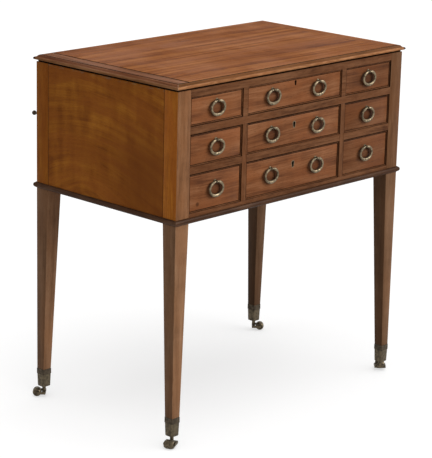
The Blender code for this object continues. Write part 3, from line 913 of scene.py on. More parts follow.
@dataclass
class Lid:
    """The hinged top: a flat with cleated ends inside a moulded edge."""

    band_inset: float = 8.6 * MM
    band: float = 4.3 * MM
    bead: float = 3.1 * MM
    ledge: float = 0.6 * MM
    ogee_rise: float = 4.8 * MM
    ogee_run: float = 7.5 * MM
    quirk: float = 1.1 * MM
    cleat: float = 46.0 * MM
    open_joint: float = 4.4 * MM
    tight_joint: float = 0.5 * MM
    joint_depth: float = 0.6 * MM
    far_edge: float = 6.1 * MM
    corner: float = 0.7 * MM
    worn_corner: float = 2.2 * MM
    facets: int = 8

    @property
    def inner(self) -> float:
        """Give the moulding's width, from the lid's widest line to the groove beside the flat."""
        return self.bead + self.ledge + self.ogee_run

    def profile(self, thickness: float) -> list[tuple[float, float]]:
        """Give the moulded edge above the band.

        Args:
            thickness: Height of the lid.

        Returns:
            Inset from the lid's widest line and height above its underside, from the band up to the flat.
        """
        middle = self.band + self.bead
        points = []
        for step in range(self.facets + 1):
            turn = math.pi * (step / self.facets - 0.5)
            points.append((self.bead - self.bead * math.cos(turn), middle + self.bead * math.sin(turn)))
        foot, level = self.bead + self.ledge, middle + self.bead
        for step in range(self.facets + 1):
            share = step / self.facets
            swing = share - 0.13 * math.sin(math.tau * share)
            points.append((foot + self.ogee_run * share, level + self.ogee_rise * swing))
        points.append((self.inner + self.quirk, level + self.ogee_rise - self.quirk))
        points.append((self.inner + 2 * self.quirk, thickness))
        return points

    def build(self) -> Piece:
        """Model the lid.

        Returns:
            The lid as one piece.
        """
        low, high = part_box("lid")
        base = (high.x - self.band_inset, high.y - self.band_inset, low.z + self.band)
        bench = Bench.box("lid_board", (-base[0], -base[1], low.z), base)
        profile = self.profile(high.z - low.z)
        bench.climb([(high.x - inset, high.y - inset, low.z + up) for inset, up in profile], base)
        for side, joint in ((-1, self.open_joint), (1, self.tight_joint)):
            line = side * (high.x - self.cleat)
            for shift in (-joint / 2, joint / 2):
                bench.cut(UP, (line + shift, 0, high.z), RIGHT)
            bench.pick(Part.FACES, lambda face: looks(face, UP) and near(face.calc_center_median().x, line))
            bench.extrude((0, 0, -self.joint_depth))
        bench.ease(self.worn_corner, lambda edge: self.is_mitre(edge, base[2]) and max(*edge.verts[0].co.xy) < 0)
        bench.ease(self.corner, lambda edge: self.is_mitre(edge, base[2]) and max(*edge.verts[0].co.xy) > 0)
        for axis in (0, 1):
            far = [0.0, 0.0, 0.0]
            far[axis] = high[axis] - self.far_edge
            bench.pick_all()
            bpy.ops.mesh.bisect(plane_co=far, plane_no=(1 - axis, axis, 0))
        return bench.done(Shading.CRISP)

    def is_mitre(self, edge: Edge, floor: float) -> bool:
        """Tell whether an edge runs up one of the moulding's corners."""
        run = edge_run(edge)
        corner = near(abs(run.x), abs(run.y)) and min(v.co.z for v in edge.verts) > floor - 0.1 * MM
        return corner and max(abs(run.x), abs(run.z)) > 0.02 * MM and run.length < 20 * MM

    def on_edge(self, face: Face, high: Vector, axis: int, sign: int) -> bool:
        """Tell whether a face belongs to the moulding along one side."""
        outward = sign * face.normal[axis] > abs(face.normal[1 - axis]) and face.normal.z < 0.995
        return outward and abs(face.center[axis]) > high[axis] - self.inner - 0.1 * MM

    def at_worn_mitre(self, face: Face, high: Vector) -> bool:
        """Tell whether a face lies on the mitre of the front left corner."""
        x, y, _ = face.center
        return x < 0 and y < 0 and face.normal.z < 0.99 and abs((high.x + x) - (high.y + y)) < 0.7 * MM

    def in_quirk(self, face: Face, high: Vector) -> bool:
        """Tell whether a face belongs to the groove between the moulding and the flat, which is painted black as shade.
        """
        away = min(high.x - abs(face.center.x), high.y - abs(face.center.y))
        return self.inner < away < self.inner + 2 * self.quirk and face.normal.z < 0.99

    def dress(self, piece: Piece) -> None:
        """Give the lid its finishes and hang it.

        Args:
            piece: The lid.
        """
        low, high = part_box("lid")
        line = high.x - self.cleat
        band_top = low.z + self.band + 0.1 * MM
        bead_top = band_top + 2 * self.bead
        grime = SHADE_AND_JOINT_BLACK.material(Grain.ALONG_X, 2)
        coats = [(TOP.material(Grain.ALONG_X, 3), None),
                 (TOP.material(Grain.ALONG_Y, 4), lambda face: face.center.x > line),
                 (CLEAT.material(Grain.ALONG_Y, 5), lambda face: face.center.x < -line)]
        sides = (
            (1, -1, EDGE, 0.58, EDGE, Marks(wear_and_highlight=0.5)),
            (0, -1, COVE, 1.0, EDGE, Marks(tone=0.72, wear_and_highlight=0.3)),
            (1, 1, COVE, 0.35, COVE, Marks(tone=0.35)),
            (0, 1, COVE, 0.35, COVE, Marks(tone=0.35)),
        )
        for index, (axis, sign, upper, tone, lower, marks) in enumerate(sides):
            way = Grain.ALONG_X if axis else Grain.ALONG_Y
            edge = partial(self.on_edge, high=high, axis=axis, sign=sign)
            coats.append((upper.material(way, 6 + index, Marks(tone=tone)), edge))
            coats.append((lower.material(way, 10 + index, marks),
                          lambda face, edge=edge: edge(face) and face.center.z < bead_top))
        coats += [
            (BARE.material(Grain.ALONG_Z, 12), lambda face: self.at_worn_mitre(face, high)),
            (COVE.material(Grain.ALONG_Z, 14, Marks(tone=0.22)), lambda face: face.center.z < bead_top
             and (face.center.x > high.x - self.far_edge or face.center.y > high.y - self.far_edge)),
            # Painted shade in near-black: the band under the bead and the groove beside the flat; the open joint of the
            # left cleat is dark too.
            (grime, lambda face: face.center.z < band_top and abs(face.normal.z) < 0.5),
            (grime, lambda face: self.in_quirk(face, high)),
            (grime, lambda face: abs(face.center.x + line) < 0.51 * self.open_joint),
        ]
        paint(piece, *coats)
        fit(piece, "lid", TOP.slot, "lid")


@dataclass
class Post:
    """A corner post that runs down as a leg, tapered on its two inner faces."""

    corner: str
    seed: int
    tone: float
    band_tone: float
    foot: float = 23.2 * MM
    tenon: float = 17.6 * MM
    edge: float = 0.9 * MM
    inner_edge: float = 0.35 * MM
    dark_foot: float = 180 * MM

    @property
    def node(self) -> str:
        """Give the name of the post's solid."""
        return f"post_{self.corner}"

    def build(self) -> Piece:
        """Model the post.

        Returns:
            The post with its leg and the tenon inside the caster cup.
        """
        cup = f"cup_{self.corner}"
        low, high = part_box(self.node)
        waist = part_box("case_bottom")[0].z
        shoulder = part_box(cup)[1].z + 0.3 * MM
        outer = Vector((outermost(low.x, high.x), outermost(low.y, high.y)))
        bench = Bench.box(f"{self.node}_board", (low.x, low.y, waist), high).facing(DOWN)
        bench.extrude((0, 0, shoulder - waist))
        share = self.foot / (high.x - low.x)
        bench.resize((share, share, 1), (*outer, shoulder))
        share = self.tenon / self.foot
        bench.extrude((0, 0, 0)).resize((share, share, 1), (*node_middle(cup).xy, shoulder))
        bench.extrude((0, 0, low.z - shoulder))
        bench.ease(self.edge, lambda edge: self.is_outer(edge, outer, shoulder))
        bench.ease(self.inner_edge, lambda edge: self.is_inner(edge, outer, shoulder))
        return bench.done(Shading.CRISP)

    def runs_up(self, edge: Edge, shoulder: float) -> bool:
        """Tell whether an edge runs up the post above the cup."""
        return abs(edge_run(edge).z) > 50 * MM and min(v.co.z for v in edge.verts) > shoulder - MM

    def is_outer(self, edge: Edge, outer: Vector, shoulder: float) -> bool:
        """Tell whether an edge is the post's outer corner."""
        return self.runs_up(edge, shoulder) and all((v.co.xy - outer).length < MM for v in edge.verts)

    def is_inner(self, edge: Edge, outer: Vector, shoulder: float) -> bool:
        """Tell whether an edge is one of the post's other three corners."""
        return self.runs_up(edge, shoulder) and all((v.co.xy - outer).length > 3 * MM for v in edge.verts)

    def dress(self, piece: Piece) -> None:
        """Give the post its finishes and hang it.

        Args:
            piece: The post.
        """
        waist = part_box("case_bottom")[0].z
        out = ENDS[self.corner.split("_")[1]]
        own = Marks(tone=self.tone, foot=self.dark_foot)
        # Front posts' rounded corners are paler where worn and as painted highlight; the back posts' corners are
        # painted dark as shade.
        wear_light_and_shade = replace(own, wear_and_highlight=0.6) if self.corner.startswith("front") else Marks(tone=0.2)
        finishes = (
            (LEG, own, None),
            # The legs' side faces are painted darker as shade.
            (LEG, replace(own, tone=0.7 * self.tone), lambda face: abs(face.normal.x) > 0.9),
            (LEG, replace(own, wear_and_highlight=0.4), arris),
            (POST, own, lambda face: face.center.z > waist),
            (POST, wear_light_and_shade, lambda face: face.center.z > waist and arris(face)),
            # The faces beside the openings get painted shade behind the case's face.
            (RAIL, Marks(recess_shade=case_face()), lambda face: face.center.z > waist and face.normal.x * out < -0.9),
            (BAND, Marks(tone=self.band_tone), lambda face: face.center.z > waist and face.normal.x * out > 0.9),
        )
        paint(piece, *((wood.material(Grain.ALONG_Z, self.seed + index, marks), test)
                       for index, (wood, marks, test) in enumerate(finishes)))
        fit(piece, "case", LEG.slot, self.node)


@dataclass
class CaseBoards:
    """The plain boards of the case, whose solids have the right shape already."""

    heart: float = 60 * MM
    blush: Point = (-131 * MM, 90 * MM)
    edge: float = 0.5 * MM
    edge_angle: float = 40.0

    def dress(self) -> None:
        """Give each board its finish."""
        face = case_face()
        for end, side in ENDS.items():
            low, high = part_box(f"side_{end}")
            blush = (outermost(low.x, high.x), self.blush[0], low.z + self.blush[1])
            marks = Marks(heart=(0.0, self.heart, low.z), blush=blush, crest=high.z, seam=high.y)
            self.dress_board(f"side_{end}", SIDE.material(Grain.ALONG_Y, 22 + side, marks))
            # Partitions: paler where rubbed, with painted shade on their walls behind the case's face.
            self.dress_board(f"partition_{end}", RAIL.material(Grain.ALONG_Z, 35 + side, Marks(wear_and_highlight=0.25, recess_shade=face)))
        self.dress_board("back", LEG.material(Grain.ALONG_X, 25, Marks(tone=0.7)))
        # Rails: paler where rubbed, with a lighter painted shade behind the case's face.
        for index, node in enumerate(("case_bottom", "drawer_shelf", "well_floor")):
            marks = Marks(wear_and_highlight=0.25, recess_shade=face, shade_strength=0.25)
            self.dress_board(node, RAIL.material(Grain.ALONG_X, 30 + index, marks))

    def dress_board(self, node: str, material: Material) -> None:
        """Give a solid that stays its finish and eased edges.

        Args:
            node: Name of the node.
            material: Its finish.
        """
        piece = paint(frame["nodes"][node], (material, None))
        weld = piece.modifiers.new("weld", "WELD")
        weld.merge_threshold = 0.01 * MM
        bevel = piece.modifiers.new("ease", "BEVEL")
        bevel.width = self.edge
        bevel.segments = 2
        bevel.angle_limit = math.radians(self.edge_angle)
        log.info("%s stays as it is, with %s", node, material.name)


@dataclass
class WaistMoulding:
    """The half-round moulding that runs round the bottom of the case, between two small fillets."""

    fillet: float = 1.4 * MM
    lip: float = 0.8 * MM
    clear: float = 0.3 * MM
    points: int = 10

    def build(self) -> Piece:
        """Model the moulding.

        Returns:
            The moulding as one mitred frame.
        """
        low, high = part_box("waist_moulding")
        reach = high.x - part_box("post_front_right")[1].x - self.clear - self.fillet
        wide, deep = high.x - reach, high.y - reach
        start = (wide, deep, low.z + self.lip)
        bench = Bench.box("waist_moulding_strip", (-wide, -deep, low.z), start)
        half = (high.z - low.z) / 2 - self.lip
        sections = []
        for step in range(self.points + 1):
            turn = math.pi * (step / self.points - 0.5)
            out = reach * math.cos(turn)
            sections.append((wide + out, deep + out, low.z + self.lip + half * (1 + math.sin(turn))))
        sections.append((wide, deep, high.z))
        bench.climb(sections, start)
        return bench.open_through(UP, self.fillet).done(Shading.ROUND)

    def dress(self, piece: Piece) -> None:
        """Give the moulding its finishes and hang it.

        Args:
            piece: The moulding.
        """
        paint(
            piece,
            (MOULDING.material(Grain.ALONG_X, 41), None),
            (MOULDING.material(Grain.ALONG_Y, 42), lambda face: abs(face.normal.x) > abs(face.normal.y)),
        )
        fit(piece, "case", MOULDING.slot, "waist_moulding")


@dataclass(frozen=True)
class Cockbead:
    """The small rounded bead round a drawer front, with a dark line on each side of it, deepened by painted shade."""

    width: float = 1.9 * MM
    quirk: float = 1.4 * MM
    setback: float = 1.8 * MM
    field: float = 3.0 * MM
    depth: float = 6.0 * MM

    def build(self, name: str, low: Vector, high: Vector) -> Piece:
        """Model one bead.

        Args:
            name: Name of the piece.
            low: Lower left corner of the front that it runs round, on its face.
            high: Upper right corner.

        Returns:
            The bead as one mitred frame.
        """
        face = low.y + self.setback
        bench = Bench.box(name, (low.x, face, low.z), (high.x, low.y + self.depth, high.z))
        bench.open_through(FORWARD, self.width)
        bench.ease(0.45 * self.width, lambda edge: self.is_front(edge, face), 3)
        return bench.done(Shading.BEAD)

    def is_front(self, edge: Edge, face: float) -> bool:
        """Tell whether an edge runs along the bead's front, and isn't a mitre."""
        run = edge_run(edge)
        return lies_at(edge, 1, face) and min(abs(run.x), abs(run.z)) < 0.01 * MM

    def dress(self, piece: Piece, seed: int, tone: float, body: str) -> None:
        """Give a bead its finishes and hang it.

        Args:
            piece: The bead.
            seed: Which part of the log it came from.
            tone: Brightness of the bead, kept low as painted shade round the front.
            body: The body that it moves with.
        """
        sill = min(corner[2] for corner in piece.bound_box) + self.width
        paint(piece, (FRONT.material(Grain.ALONG_X, seed, Marks(wear_and_highlight=0.3, tone=tone)), None),
              # The bead's sides are painted darker as shade, and its bottom run paler against the shade there.
              (RAIL.material(Grain.ALONG_X, 6, QUIRK_SHADE), lambda face: abs(face.normal.y) < 0.3),
              (RAIL.material(Grain.ALONG_X, 7, SILL_PAINTED_LIGHT), lambda face: face.center.z < sill))
        fit(piece, body, FRONT.slot)


@dataclass(frozen=True)
class Keyhole:
    """A keyhole: a round head over a narrower tail, in a thin brass plate or bare."""

    head: float = 3.6 * MM
    drop: float = 6.6 * MM
    tail: float = 0.7
    rim: float = 1.5 * MM
    depth: float = 8.0 * MM
    proud: float = 0.25 * MM

    def outline(self, name: str, place: Point, grow: float, span: tuple[float, float]) -> Piece:
        """Model a solid of the keyhole's outline.

        Args:
            name: Name of the piece.
            place: Middle of the keyhole on the face of its front.
            grow: Width added all round.
            span: Where it starts and ends along Y, from the face.

        Returns:
            The solid.
        """
        head = self.head + grow
        bench = Bench(name, bpy.ops.mesh.primitive_circle_add, vertices=40, radius=head, fill_type="NGON",
                      rotation=(math.pi / 2, 0, 0))
        bench.pick(Part.CORNERS, lambda v: v.co.z < -0.1 * head)
        bench.move((0, 0, -self.drop)).resize((self.tail, 1, 1), (0, 0, 0))
        bench.pick_all().extrude((0, span[1] - span[0], 0)).close()
        bench.pick_all().move((place[0], place[1] + span[0], place[2] + self.drop / 2))
        return bench.done(Shading.ROUND)

    def pierce(self, piece: Piece, place: Point) -> Piece:
        """Cut the keyhole into a piece.

        Args:
            piece: The front or the plate.
            place: Middle of the keyhole on the face of the front.

        Returns:
            The piece.
        """
        return bored(piece, self.outline("keyhole_drill", place, 0.0, (-2 * MM, self.depth)))

    def in_hole(self, point: Vector, place: Point, back: float) -> bool:
        """Tell whether a point lies inside the keyhole.

        Args:
            point: The point.
            place: Middle of the keyhole on the face of its front.
            back: Y of the front board's back.

        Returns:
            True between the face and the back.
        """
        aside, away = abs(point.x - place[0]), abs(point.z - place[2])
        inside = aside < self.head + 0.1 * MM and away < self.head + self.drop
        return inside and place[1] + 0.05 * MM < point.y < back - MM

    def build(self, name: str, place: Point) -> Piece:
        """Model the brass plate.

        Args:
            name: Name of the piece.
            place: Middle of the keyhole on the face of its front.

        Returns:
            The pierced plate.
        """
        plate = self.outline(name, place, self.rim, (-self.proud, 0.5 * MM))
        return self.pierce(plate, place)


def pull_places(row: str, column: str, face: float) -> tuple[Point, ...]:
    """Find where the rings lie on a front.

    Args:
        row: Row of the front.
        column: Its column.
        face: Y of its face.

    Returns:
        The middle of each ring, on the face.
    """
    middles = [node_middle(f"ring_{row}_{pull}") for pull in PULLS[column]]
    return tuple((middle.x, face, middle.z) for middle in middles)


@dataclass
class ShamFront:
    """The board behind the lid's front edge, with three fields beaded like drawers."""

    bead: Cockbead = Cockbead()
    keyhole: Keyhole = Keyhole(head=3.3 * MM, drop=5.6 * MM)
    top_rail: float = 16.4 * MM
    opening: float = 0.8 * MM
    gap: float = 1.3 * MM
    seat: float = 0.4 * MM
    keyhole_drop: float = 11.6 * MM

    @property
    def keyhole_place(self) -> Point:
        """Give the middle of the keyhole, on the middle field."""
        low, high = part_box("sham_front")
        return (0.0, low.y + self.bead.field, high.z - self.top_rail - self.keyhole_drop)

    def fields(self) -> list[tuple[Vector, Vector]]:
        """Give the three fields.

        Returns:
            Lower left and upper right corner of each field, on the board's face.
        """
        low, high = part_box("sham_front")
        corners = []
        for column in PULLS:
            left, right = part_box(f"drawer_upper_{column}")
            corners.append((Vector((max(low.x, left.x - self.opening), low.y, low.z + self.seat)),
                            Vector((min(high.x, right.x + self.opening), low.y, high.z - self.top_rail))))
        return corners

    def build(self) -> Piece:
        """Model the board.

        Returns:
            The board with a sunk ring round each field.
        """
        bench = Bench.box("sham_front_board", *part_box("sham_front"))
        fields = self.fields()
        for field_low, field_high in fields:
            bench.cut(FORWARD, field_low, RIGHT)
            bench.cut(FORWARD, field_high, RIGHT)
        bench.cut(FORWARD, fields[0][0], UP)
        bench.cut(FORWARD, fields[0][1], UP)
        bench.pick(Part.FACES, lambda face: looks(face, FORWARD) and self.inside(face.calc_center_median()))
        bench.extrude((0, self.bead.field, 0))
        bench.inset(self.gap + self.bead.width + self.bead.quirk)
        bench.pick(Part.FACES, lambda face: looks(face, FORWARD) and self.inside(face.calc_center_median())
                   and not self.is_panel(face.calc_center_median()))
        bench.extrude((0, self.bead.depth - self.bead.field, 0))
        return self.keyhole.pierce(bench.done(Shading.FLAT), self.keyhole_place)

    def inside(self, point: Vector) -> bool:
        """Tell whether a point of the face lies in one of the fields."""
        return any(a.x < point.x < b.x and a.z < point.z < b.z for a, b in self.fields())

    def is_panel(self, point: Vector) -> bool:
        """Tell whether a point is the middle of one of the fields."""
        middles = [(a + b) / 2 for a, b in self.fields()]
        return any(near(point.x, middle.x) and near(point.z, middle.z) for middle in middles)

    def is_sunk(self, face: Face) -> bool:
        """Tell whether a face lies in the groove round one of the fields."""
        low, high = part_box("sham_front")
        sunk = low.y + self.bead.field + 0.2 * MM < face.center.y < high.y - 2 * MM
        return sunk and self.inside(face.center)

    def dress(self, piece: Piece) -> None:
        """Give the board its finishes, beads and keyhole, and hang them.

        Args:
            piece: The board.
        """
        low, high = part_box("sham_front")
        fields = self.fields()
        margin = self.gap + self.bead.width
        panel = low.y + self.bead.field
        # The rails: paler where rubbed, with painted shade on the walls behind the face.
        coats = [(RAIL.material(Grain.ALONG_X, 51, Marks(wear_and_highlight=0.25, recess_shade=low.y)), None)]
        for index, ((a, b), column) in enumerate(zip(fields, PULLS)):
            # Each field carries the painted shadows of its rings.
            marks = Marks(tone=FRONT_TONES[column], pulls=pull_places("sham", column, panel))
            wood = FRONT.material(Grain.ALONG_X, 52 + index, marks)
            coats.append((wood, lambda face, a=a, b=b: near(face.center.y, panel)
                          and a.x + margin < face.center.x < b.x - margin and a.z + margin < face.center.z))
        quirk, grime = RAIL.material(Grain.ALONG_X, 58, QUIRK_SHADE), SHADE_AND_JOINT_BLACK.material(Grain.ALONG_X, 3)
        sill = fields[0][0].z + margin + self.bead.quirk + 0.3 * MM
        # The groove round each field is painted darker as shade, its bottom run paler against that shade, and the
        # keyhole's walls near-black as shade.
        coats += [
            (quirk, self.is_sunk),
            (RAIL.material(Grain.ALONG_X, 59, SILL_PAINTED_LIGHT), lambda face: self.is_sunk(face) and face.center.z < sill),
            (grime, lambda face: self.keyhole.in_hole(face.center, self.keyhole_place, high.y)),
        ]
        paint(piece, *coats)
        fit(piece, "case", FRONT.slot, "sham_front")
        inner = Vector((self.gap, 0, self.gap))
        for (a, b), column in zip(fields, PULLS):
            bead = self.bead.build(f"bead_sham_{column}", a + inner, b - inner)
            # The beads are kept dark as painted shade.
            self.bead.dress(bead, 57, 0.6 * FRONT_TONES[column], "case")


@dataclass
class Drawer:
    """A drawer: beaded mahogany front, oak sides dovetailed into it, oak back and bottom."""

    row: str
    column: str
    seed: int
    bead: Cockbead = Cockbead()
    keyhole: Keyhole = Keyhole()
    front: float = 21 * MM
    side: float = 8 * MM
    back: float = 7 * MM
    bottom: float = 6 * MM
    lap: float = 12 * MM
    tails: int = 3
    side_drop: float = 2 * MM
    back_drop: float = 6 * MM
    keyhole_drops: tuple[tuple[str, float], ...] = (("upper", 25.2 * MM), ("lower", 29.4 * MM))
    knot: Point = (-0.311, -0.2255, 0.553)
    ease_low: Point = (0.6 * MM, 0.0, 0.4 * MM)
    ease_high: Point = (0.6 * MM, 0.0, 1.7 * MM)

    @property
    def label(self) -> str:
        """Give the drawer's row and column as one word."""
        return f"{self.row}_{self.column}"

    def corners(self) -> tuple[Vector, Vector]:
        """Give the drawer's lowest and highest corner, out to the face of the case."""
        low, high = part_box(f"drawer_{self.label}")
        low.y = case_face()
        return low, high

    @property
    def keyhole_place(self) -> Point:
        """Give the middle of the drawer's keyhole."""
        low, high = self.corners()
        return (0.0, low.y + self.bead.field, high.z - dict(self.keyhole_drops)[self.row])

    def build_front(self, low: Vector, high: Vector) -> Piece:
        """Model the front board, whose field stands in the bead.

        Args:
            low: Lowest corner of the drawer.
            high: Its highest corner.

        Returns:
            The front board.
        """
        low, high = low + Vector(self.ease_low), high - Vector(self.ease_high)
        inward = 0.1 * MM
        bench = Bench.box(f"front_{self.label}", (low.x + inward, low.y + self.bead.depth, low.z),
                          (high.x - inward, low.y + self.front, high.z))
        bench.facing(FORWARD).inset(self.bead.width + self.bead.quirk)
        bench.extrude((0, self.bead.field - self.bead.depth, 0))
        face = low.y + self.bead.field
        bench.ease(0.4 * MM, lambda edge: lies_at(edge, 1, face))
        front = bench.done(Shading.FLAT)
        return self.keyhole.pierce(front, self.keyhole_place) if self.column == "centre" else front

    def build_side(self, low: Vector, high: Vector) -> Piece:
        """Model the left side with its row of tails.

        Args:
            low: Lowest corner of the drawer.
            high: Its highest corner.

        Returns:
            The side board.
        """
        root, top = low.y + self.front, high.z - self.side_drop
        bench = Bench.box(f"side_{self.label}_left", (low.x, root, low.z), (low.x + self.side, high.y, top))
        pitch = (top - low.z) / self.tails
        middles = [low.z + (index + 0.5) * pitch for index in range(self.tails)]
        for middle in middles:
            for shift in (-0.27 * pitch, 0.27 * pitch):
                bench.cut(FORWARD, (0, root, middle + shift), UP)
        for middle in middles:
            bench.pick(Part.FACES, lambda face: looks(face, FORWARD) and near(face.calc_center_median().z, middle))
            bench.extrude((0, -self.lap, 0)).resize((1, 1, 1.4), (low.x, root - self.lap, middle))
        bench.ease(2.2 * MM, lambda edge: lies_at(edge, 2, top) and abs(edge_run(edge).x) < MM, 3)
        return bench.done(Shading.ROUND)

    def build(self) -> list[tuple[Piece, Wood]]:
        """Model the boards.

        Returns:
            Each board with its timber, the front first.
        """
        low, high = self.corners()
        front = self.build_front(low, high)
        left = self.build_side(low, high)
        right = copied(left, f"side_{self.label}_right",
                       Matrix.Translation((low.x + high.x, 0, 0)) @ Matrix.Scale(-1, 4, (1, 0, 0)))
        left_end, right_end, top = low.x + self.side, high.x - self.side, high.z - self.back_drop
        back = Bench.box(f"back_{self.label}", (left_end, high.y - self.back, low.z + self.bottom),
                         (right_end, high.y, top)).ease(1.5 * MM, lambda edge: lies_at(edge, 2, top), 3).done()
        base = Bench.box(f"bottom_{self.label}", (left_end, low.y + self.front, low.z + 0.8 * MM),
                         (right_end, high.y, low.z + self.bottom)).ease(0.5 * MM, every).done()
        return [(front, FRONT), (left, OAK), (right, OAK), (back, OAK), (base, OAK)]

    def in_groove(self, face: Face, front: float) -> bool:
        """Tell whether a face lies in the groove between the field and the bead."""
        return front + self.bead.field + 0.5 * MM < face.center.y < front + self.bead.depth + 0.1 * MM

    def dress(self, boards: list[tuple[Piece, Wood]]) -> None:
        """Give the boards their finishes, bead and keyhole, and hang them.

        Args:
            boards: Each board with its timber, the front first.
        """
        body = f"{self.label}_drawer"
        low, high = self.corners()
        front = boards[0][0]
        tone = FRONT_TONES[self.column]
        # The face carries the painted shadows of its rings.
        marks = Marks(tone=tone, knot=self.knot if self.label == "lower_left" else None,
                      pulls=pull_places(self.row, self.column, low.y + self.bead.field))
        panel = low.y + self.bead.field + 0.5 * MM
        sill_top = low.z + self.ease_low[2] + self.bead.width + self.bead.quirk + 0.3 * MM
        quirk, grime = RAIL.material(Grain.ALONG_X, self.seed + 8, QUIRK_SHADE), SHADE_AND_JOINT_BLACK.material(Grain.ALONG_X, 5)
        sill = RAIL.material(Grain.ALONG_X, self.seed + 9, SILL_PAINTED_LIGHT)
        edges = RAIL.material(Grain.ALONG_X, 8, Marks(tone=0.6))
        coats = [
            (RAIL.material(Grain.ALONG_X, self.seed), None),
            # The groove round the field is painted darker as shade, its bottom run paler against that shade.
            (quirk, lambda face: self.in_groove(face, low.y)),
            (sill, lambda face: self.in_groove(face, low.y) and face.center.z < sill_top),
            (edges, lambda face: abs(face.normal.y) < 0.5 and face.center.y > low.y + self.bead.depth),
            (FRONT.material(Grain.ALONG_X, self.seed + 1, marks), lambda face: face.center.y < panel),
        ]
        if self.column == "centre":
            place = self.keyhole_place
            # The keyhole's walls are painted near-black as shade.
            coats.append((grime, lambda face: self.keyhole.in_hole(face.center, place, low.y + self.front)))
            BRASS.cover(self.keyhole.build(f"keyhole_{self.label}", place), 61, body)
        paint(front, *coats)
        ways = (Grain.ALONG_Y, Grain.ALONG_Y, Grain.ALONG_X, Grain.ALONG_Y)
        for index, ((board, wood), way) in enumerate(zip(boards[1:], ways)):
            paint(board, (wood.material(way, self.seed + 2 + index), None))
        fit(front, body, FRONT.slot, f"drawer_{self.label}")
        for board, wood in boards[1:]:
            fit(board, body, wood.slot)
        bead = self.bead.build(f"bead_{self.label}", low + Vector(self.ease_low), high - Vector(self.ease_high))
        # The bead is kept dark as painted shade.
        self.bead.dress(bead, self.seed + 7, 0.4 * tone, body)


@dataclass
class RingPulls:
    """The oval rings, each hung in the eye of a small turned post."""

    wide: float = RING[0]
    high: float = RING[1]
    tube: float = 2.8 * MM
    broad: float = 1.4
    thin: float = 1.8 * MM
    thin_arc: float = 10.0
    full_arc: float = 30.0
    facets: int = 64
    rose: float = 4.8 * MM
    neck: float = 2.2 * MM
    ball: float = 3.6 * MM
    hole: float = 2.3 * MM
    lift: float = 0.05 * MM
    seed: int = 70

    def section(self, turn: float) -> float:
        """Give the ring's radius at an angle from its top: thin in the eye, full from the shoulders down."""
        away = abs(math.degrees(math.remainder(turn, math.tau)))
        share = min(1.0, max(0.0, (away - self.thin_arc) / (self.full_arc - self.thin_arc)))
        return self.thin + (self.tube - self.thin) * share * share * (3 - 2 * share)

    def build_ring(self) -> Piece:
        """Model a ring about the line that it swings on.

        Returns:
            The oval ring, hanging below the origin.
        """
        half, squash = self.wide / 2, self.high / self.wide
        bench = Bench("ring_pattern", bpy.ops.mesh.primitive_torus_add, major_radius=half, minor_radius=self.tube,
                      major_segments=self.facets, minor_segments=20, rotation=(math.pi / 2, 0, 0))
        for index in range(self.facets):
            turn = math.tau * index / self.facets
            bench.pick(Part.CORNERS, lambda v: abs(math.remainder(math.atan2(v.co.x, v.co.z) - turn, math.tau)) < 0.01)
            radius = self.section(turn)
            fullness = (radius - self.thin) / (self.tube - self.thin)
            spread = 1 + (self.broad - 1) * fullness * math.cos(turn) ** 2
            grow = radius / self.tube
            radial = grow * spread / math.hypot(math.sin(turn), squash * math.cos(turn))
            bench.resize((radial, grow, radial), (half * math.sin(turn), 0, half * math.cos(turn)))
        bench.pick_all().resize((1, 1, squash), (0, 0, 0)).move((0, 0, -self.high / 2))
        return bench.close().done(Shading.WHOLE)

    def build_eye(self, reach: float) -> Piece:
        """Model a post with its eye, standing on the face of a front.

        Args:
            reach: Distance from the face to the ball's middle.

        Returns:
            The post, with the middle of its eye at the origin.
        """
        profile = [(0, self.lift), (self.rose, self.lift), (self.rose, self.lift + 0.3 * MM),
                   (0.8 * self.rose, self.lift + 0.7 * MM), (0.62 * self.rose, self.lift + 0.8 * MM),
                   (self.neck, self.lift + 1.2 * MM), *ball_profile(self.ball, self.neck, reach, 8)]
        post = Bench.turned("eye_pattern", profile, 36).done(Shading.ROUND)
        rim, end = self.hole + MM, 8 * MM
        drill = Bench.turned("eye_drill", [(0, -end), (rim, -end), (self.hole, 0), (rim, end), (0, end)], 28).done()
        drill.data.transform(Matrix.Translation((0, 0, reach)) @ TO_X)
        bored(post, drill, Shading.ROUND)
        post.data.transform(TO_FRONT @ Matrix.Translation((0, 0, -reach)))
        return post

    def build(self) -> None:
        """Model one ring and one eye, and copy them to all their places."""
        joints = frame["record"]["behaviour"]["joints"]
        pivots = {joint["name"]: Vector(joint["pos_m"]) for joint in joints if "pos_m" in joint}
        ring = self.build_ring()
        eye = self.build_eye(case_face() + Cockbead.field - pivots["sham_left_ring_swing"].y)
        places = [(row, column, pull) for row in ("sham", *ROWS) for column, pulls in PULLS.items() for pull in pulls]
        for index, (row, column, pull) in enumerate(places):
            holder = "case" if row == "sham" else f"{row}_{column}_drawer"
            name, seed = f"{row}_{pull}", self.seed + 1 + index
            place = Matrix.Translation(pivots[f"{name}_ring_swing"])
            BRASS.cover(copied(ring, f"hoop_{name}", place), seed, f"{name}_ring", f"ring_{name}")
            STUD.cover(copied(eye, f"stud_{name}", place), seed + 20, holder, f"eye_{name}")
        discard(ring, eye)


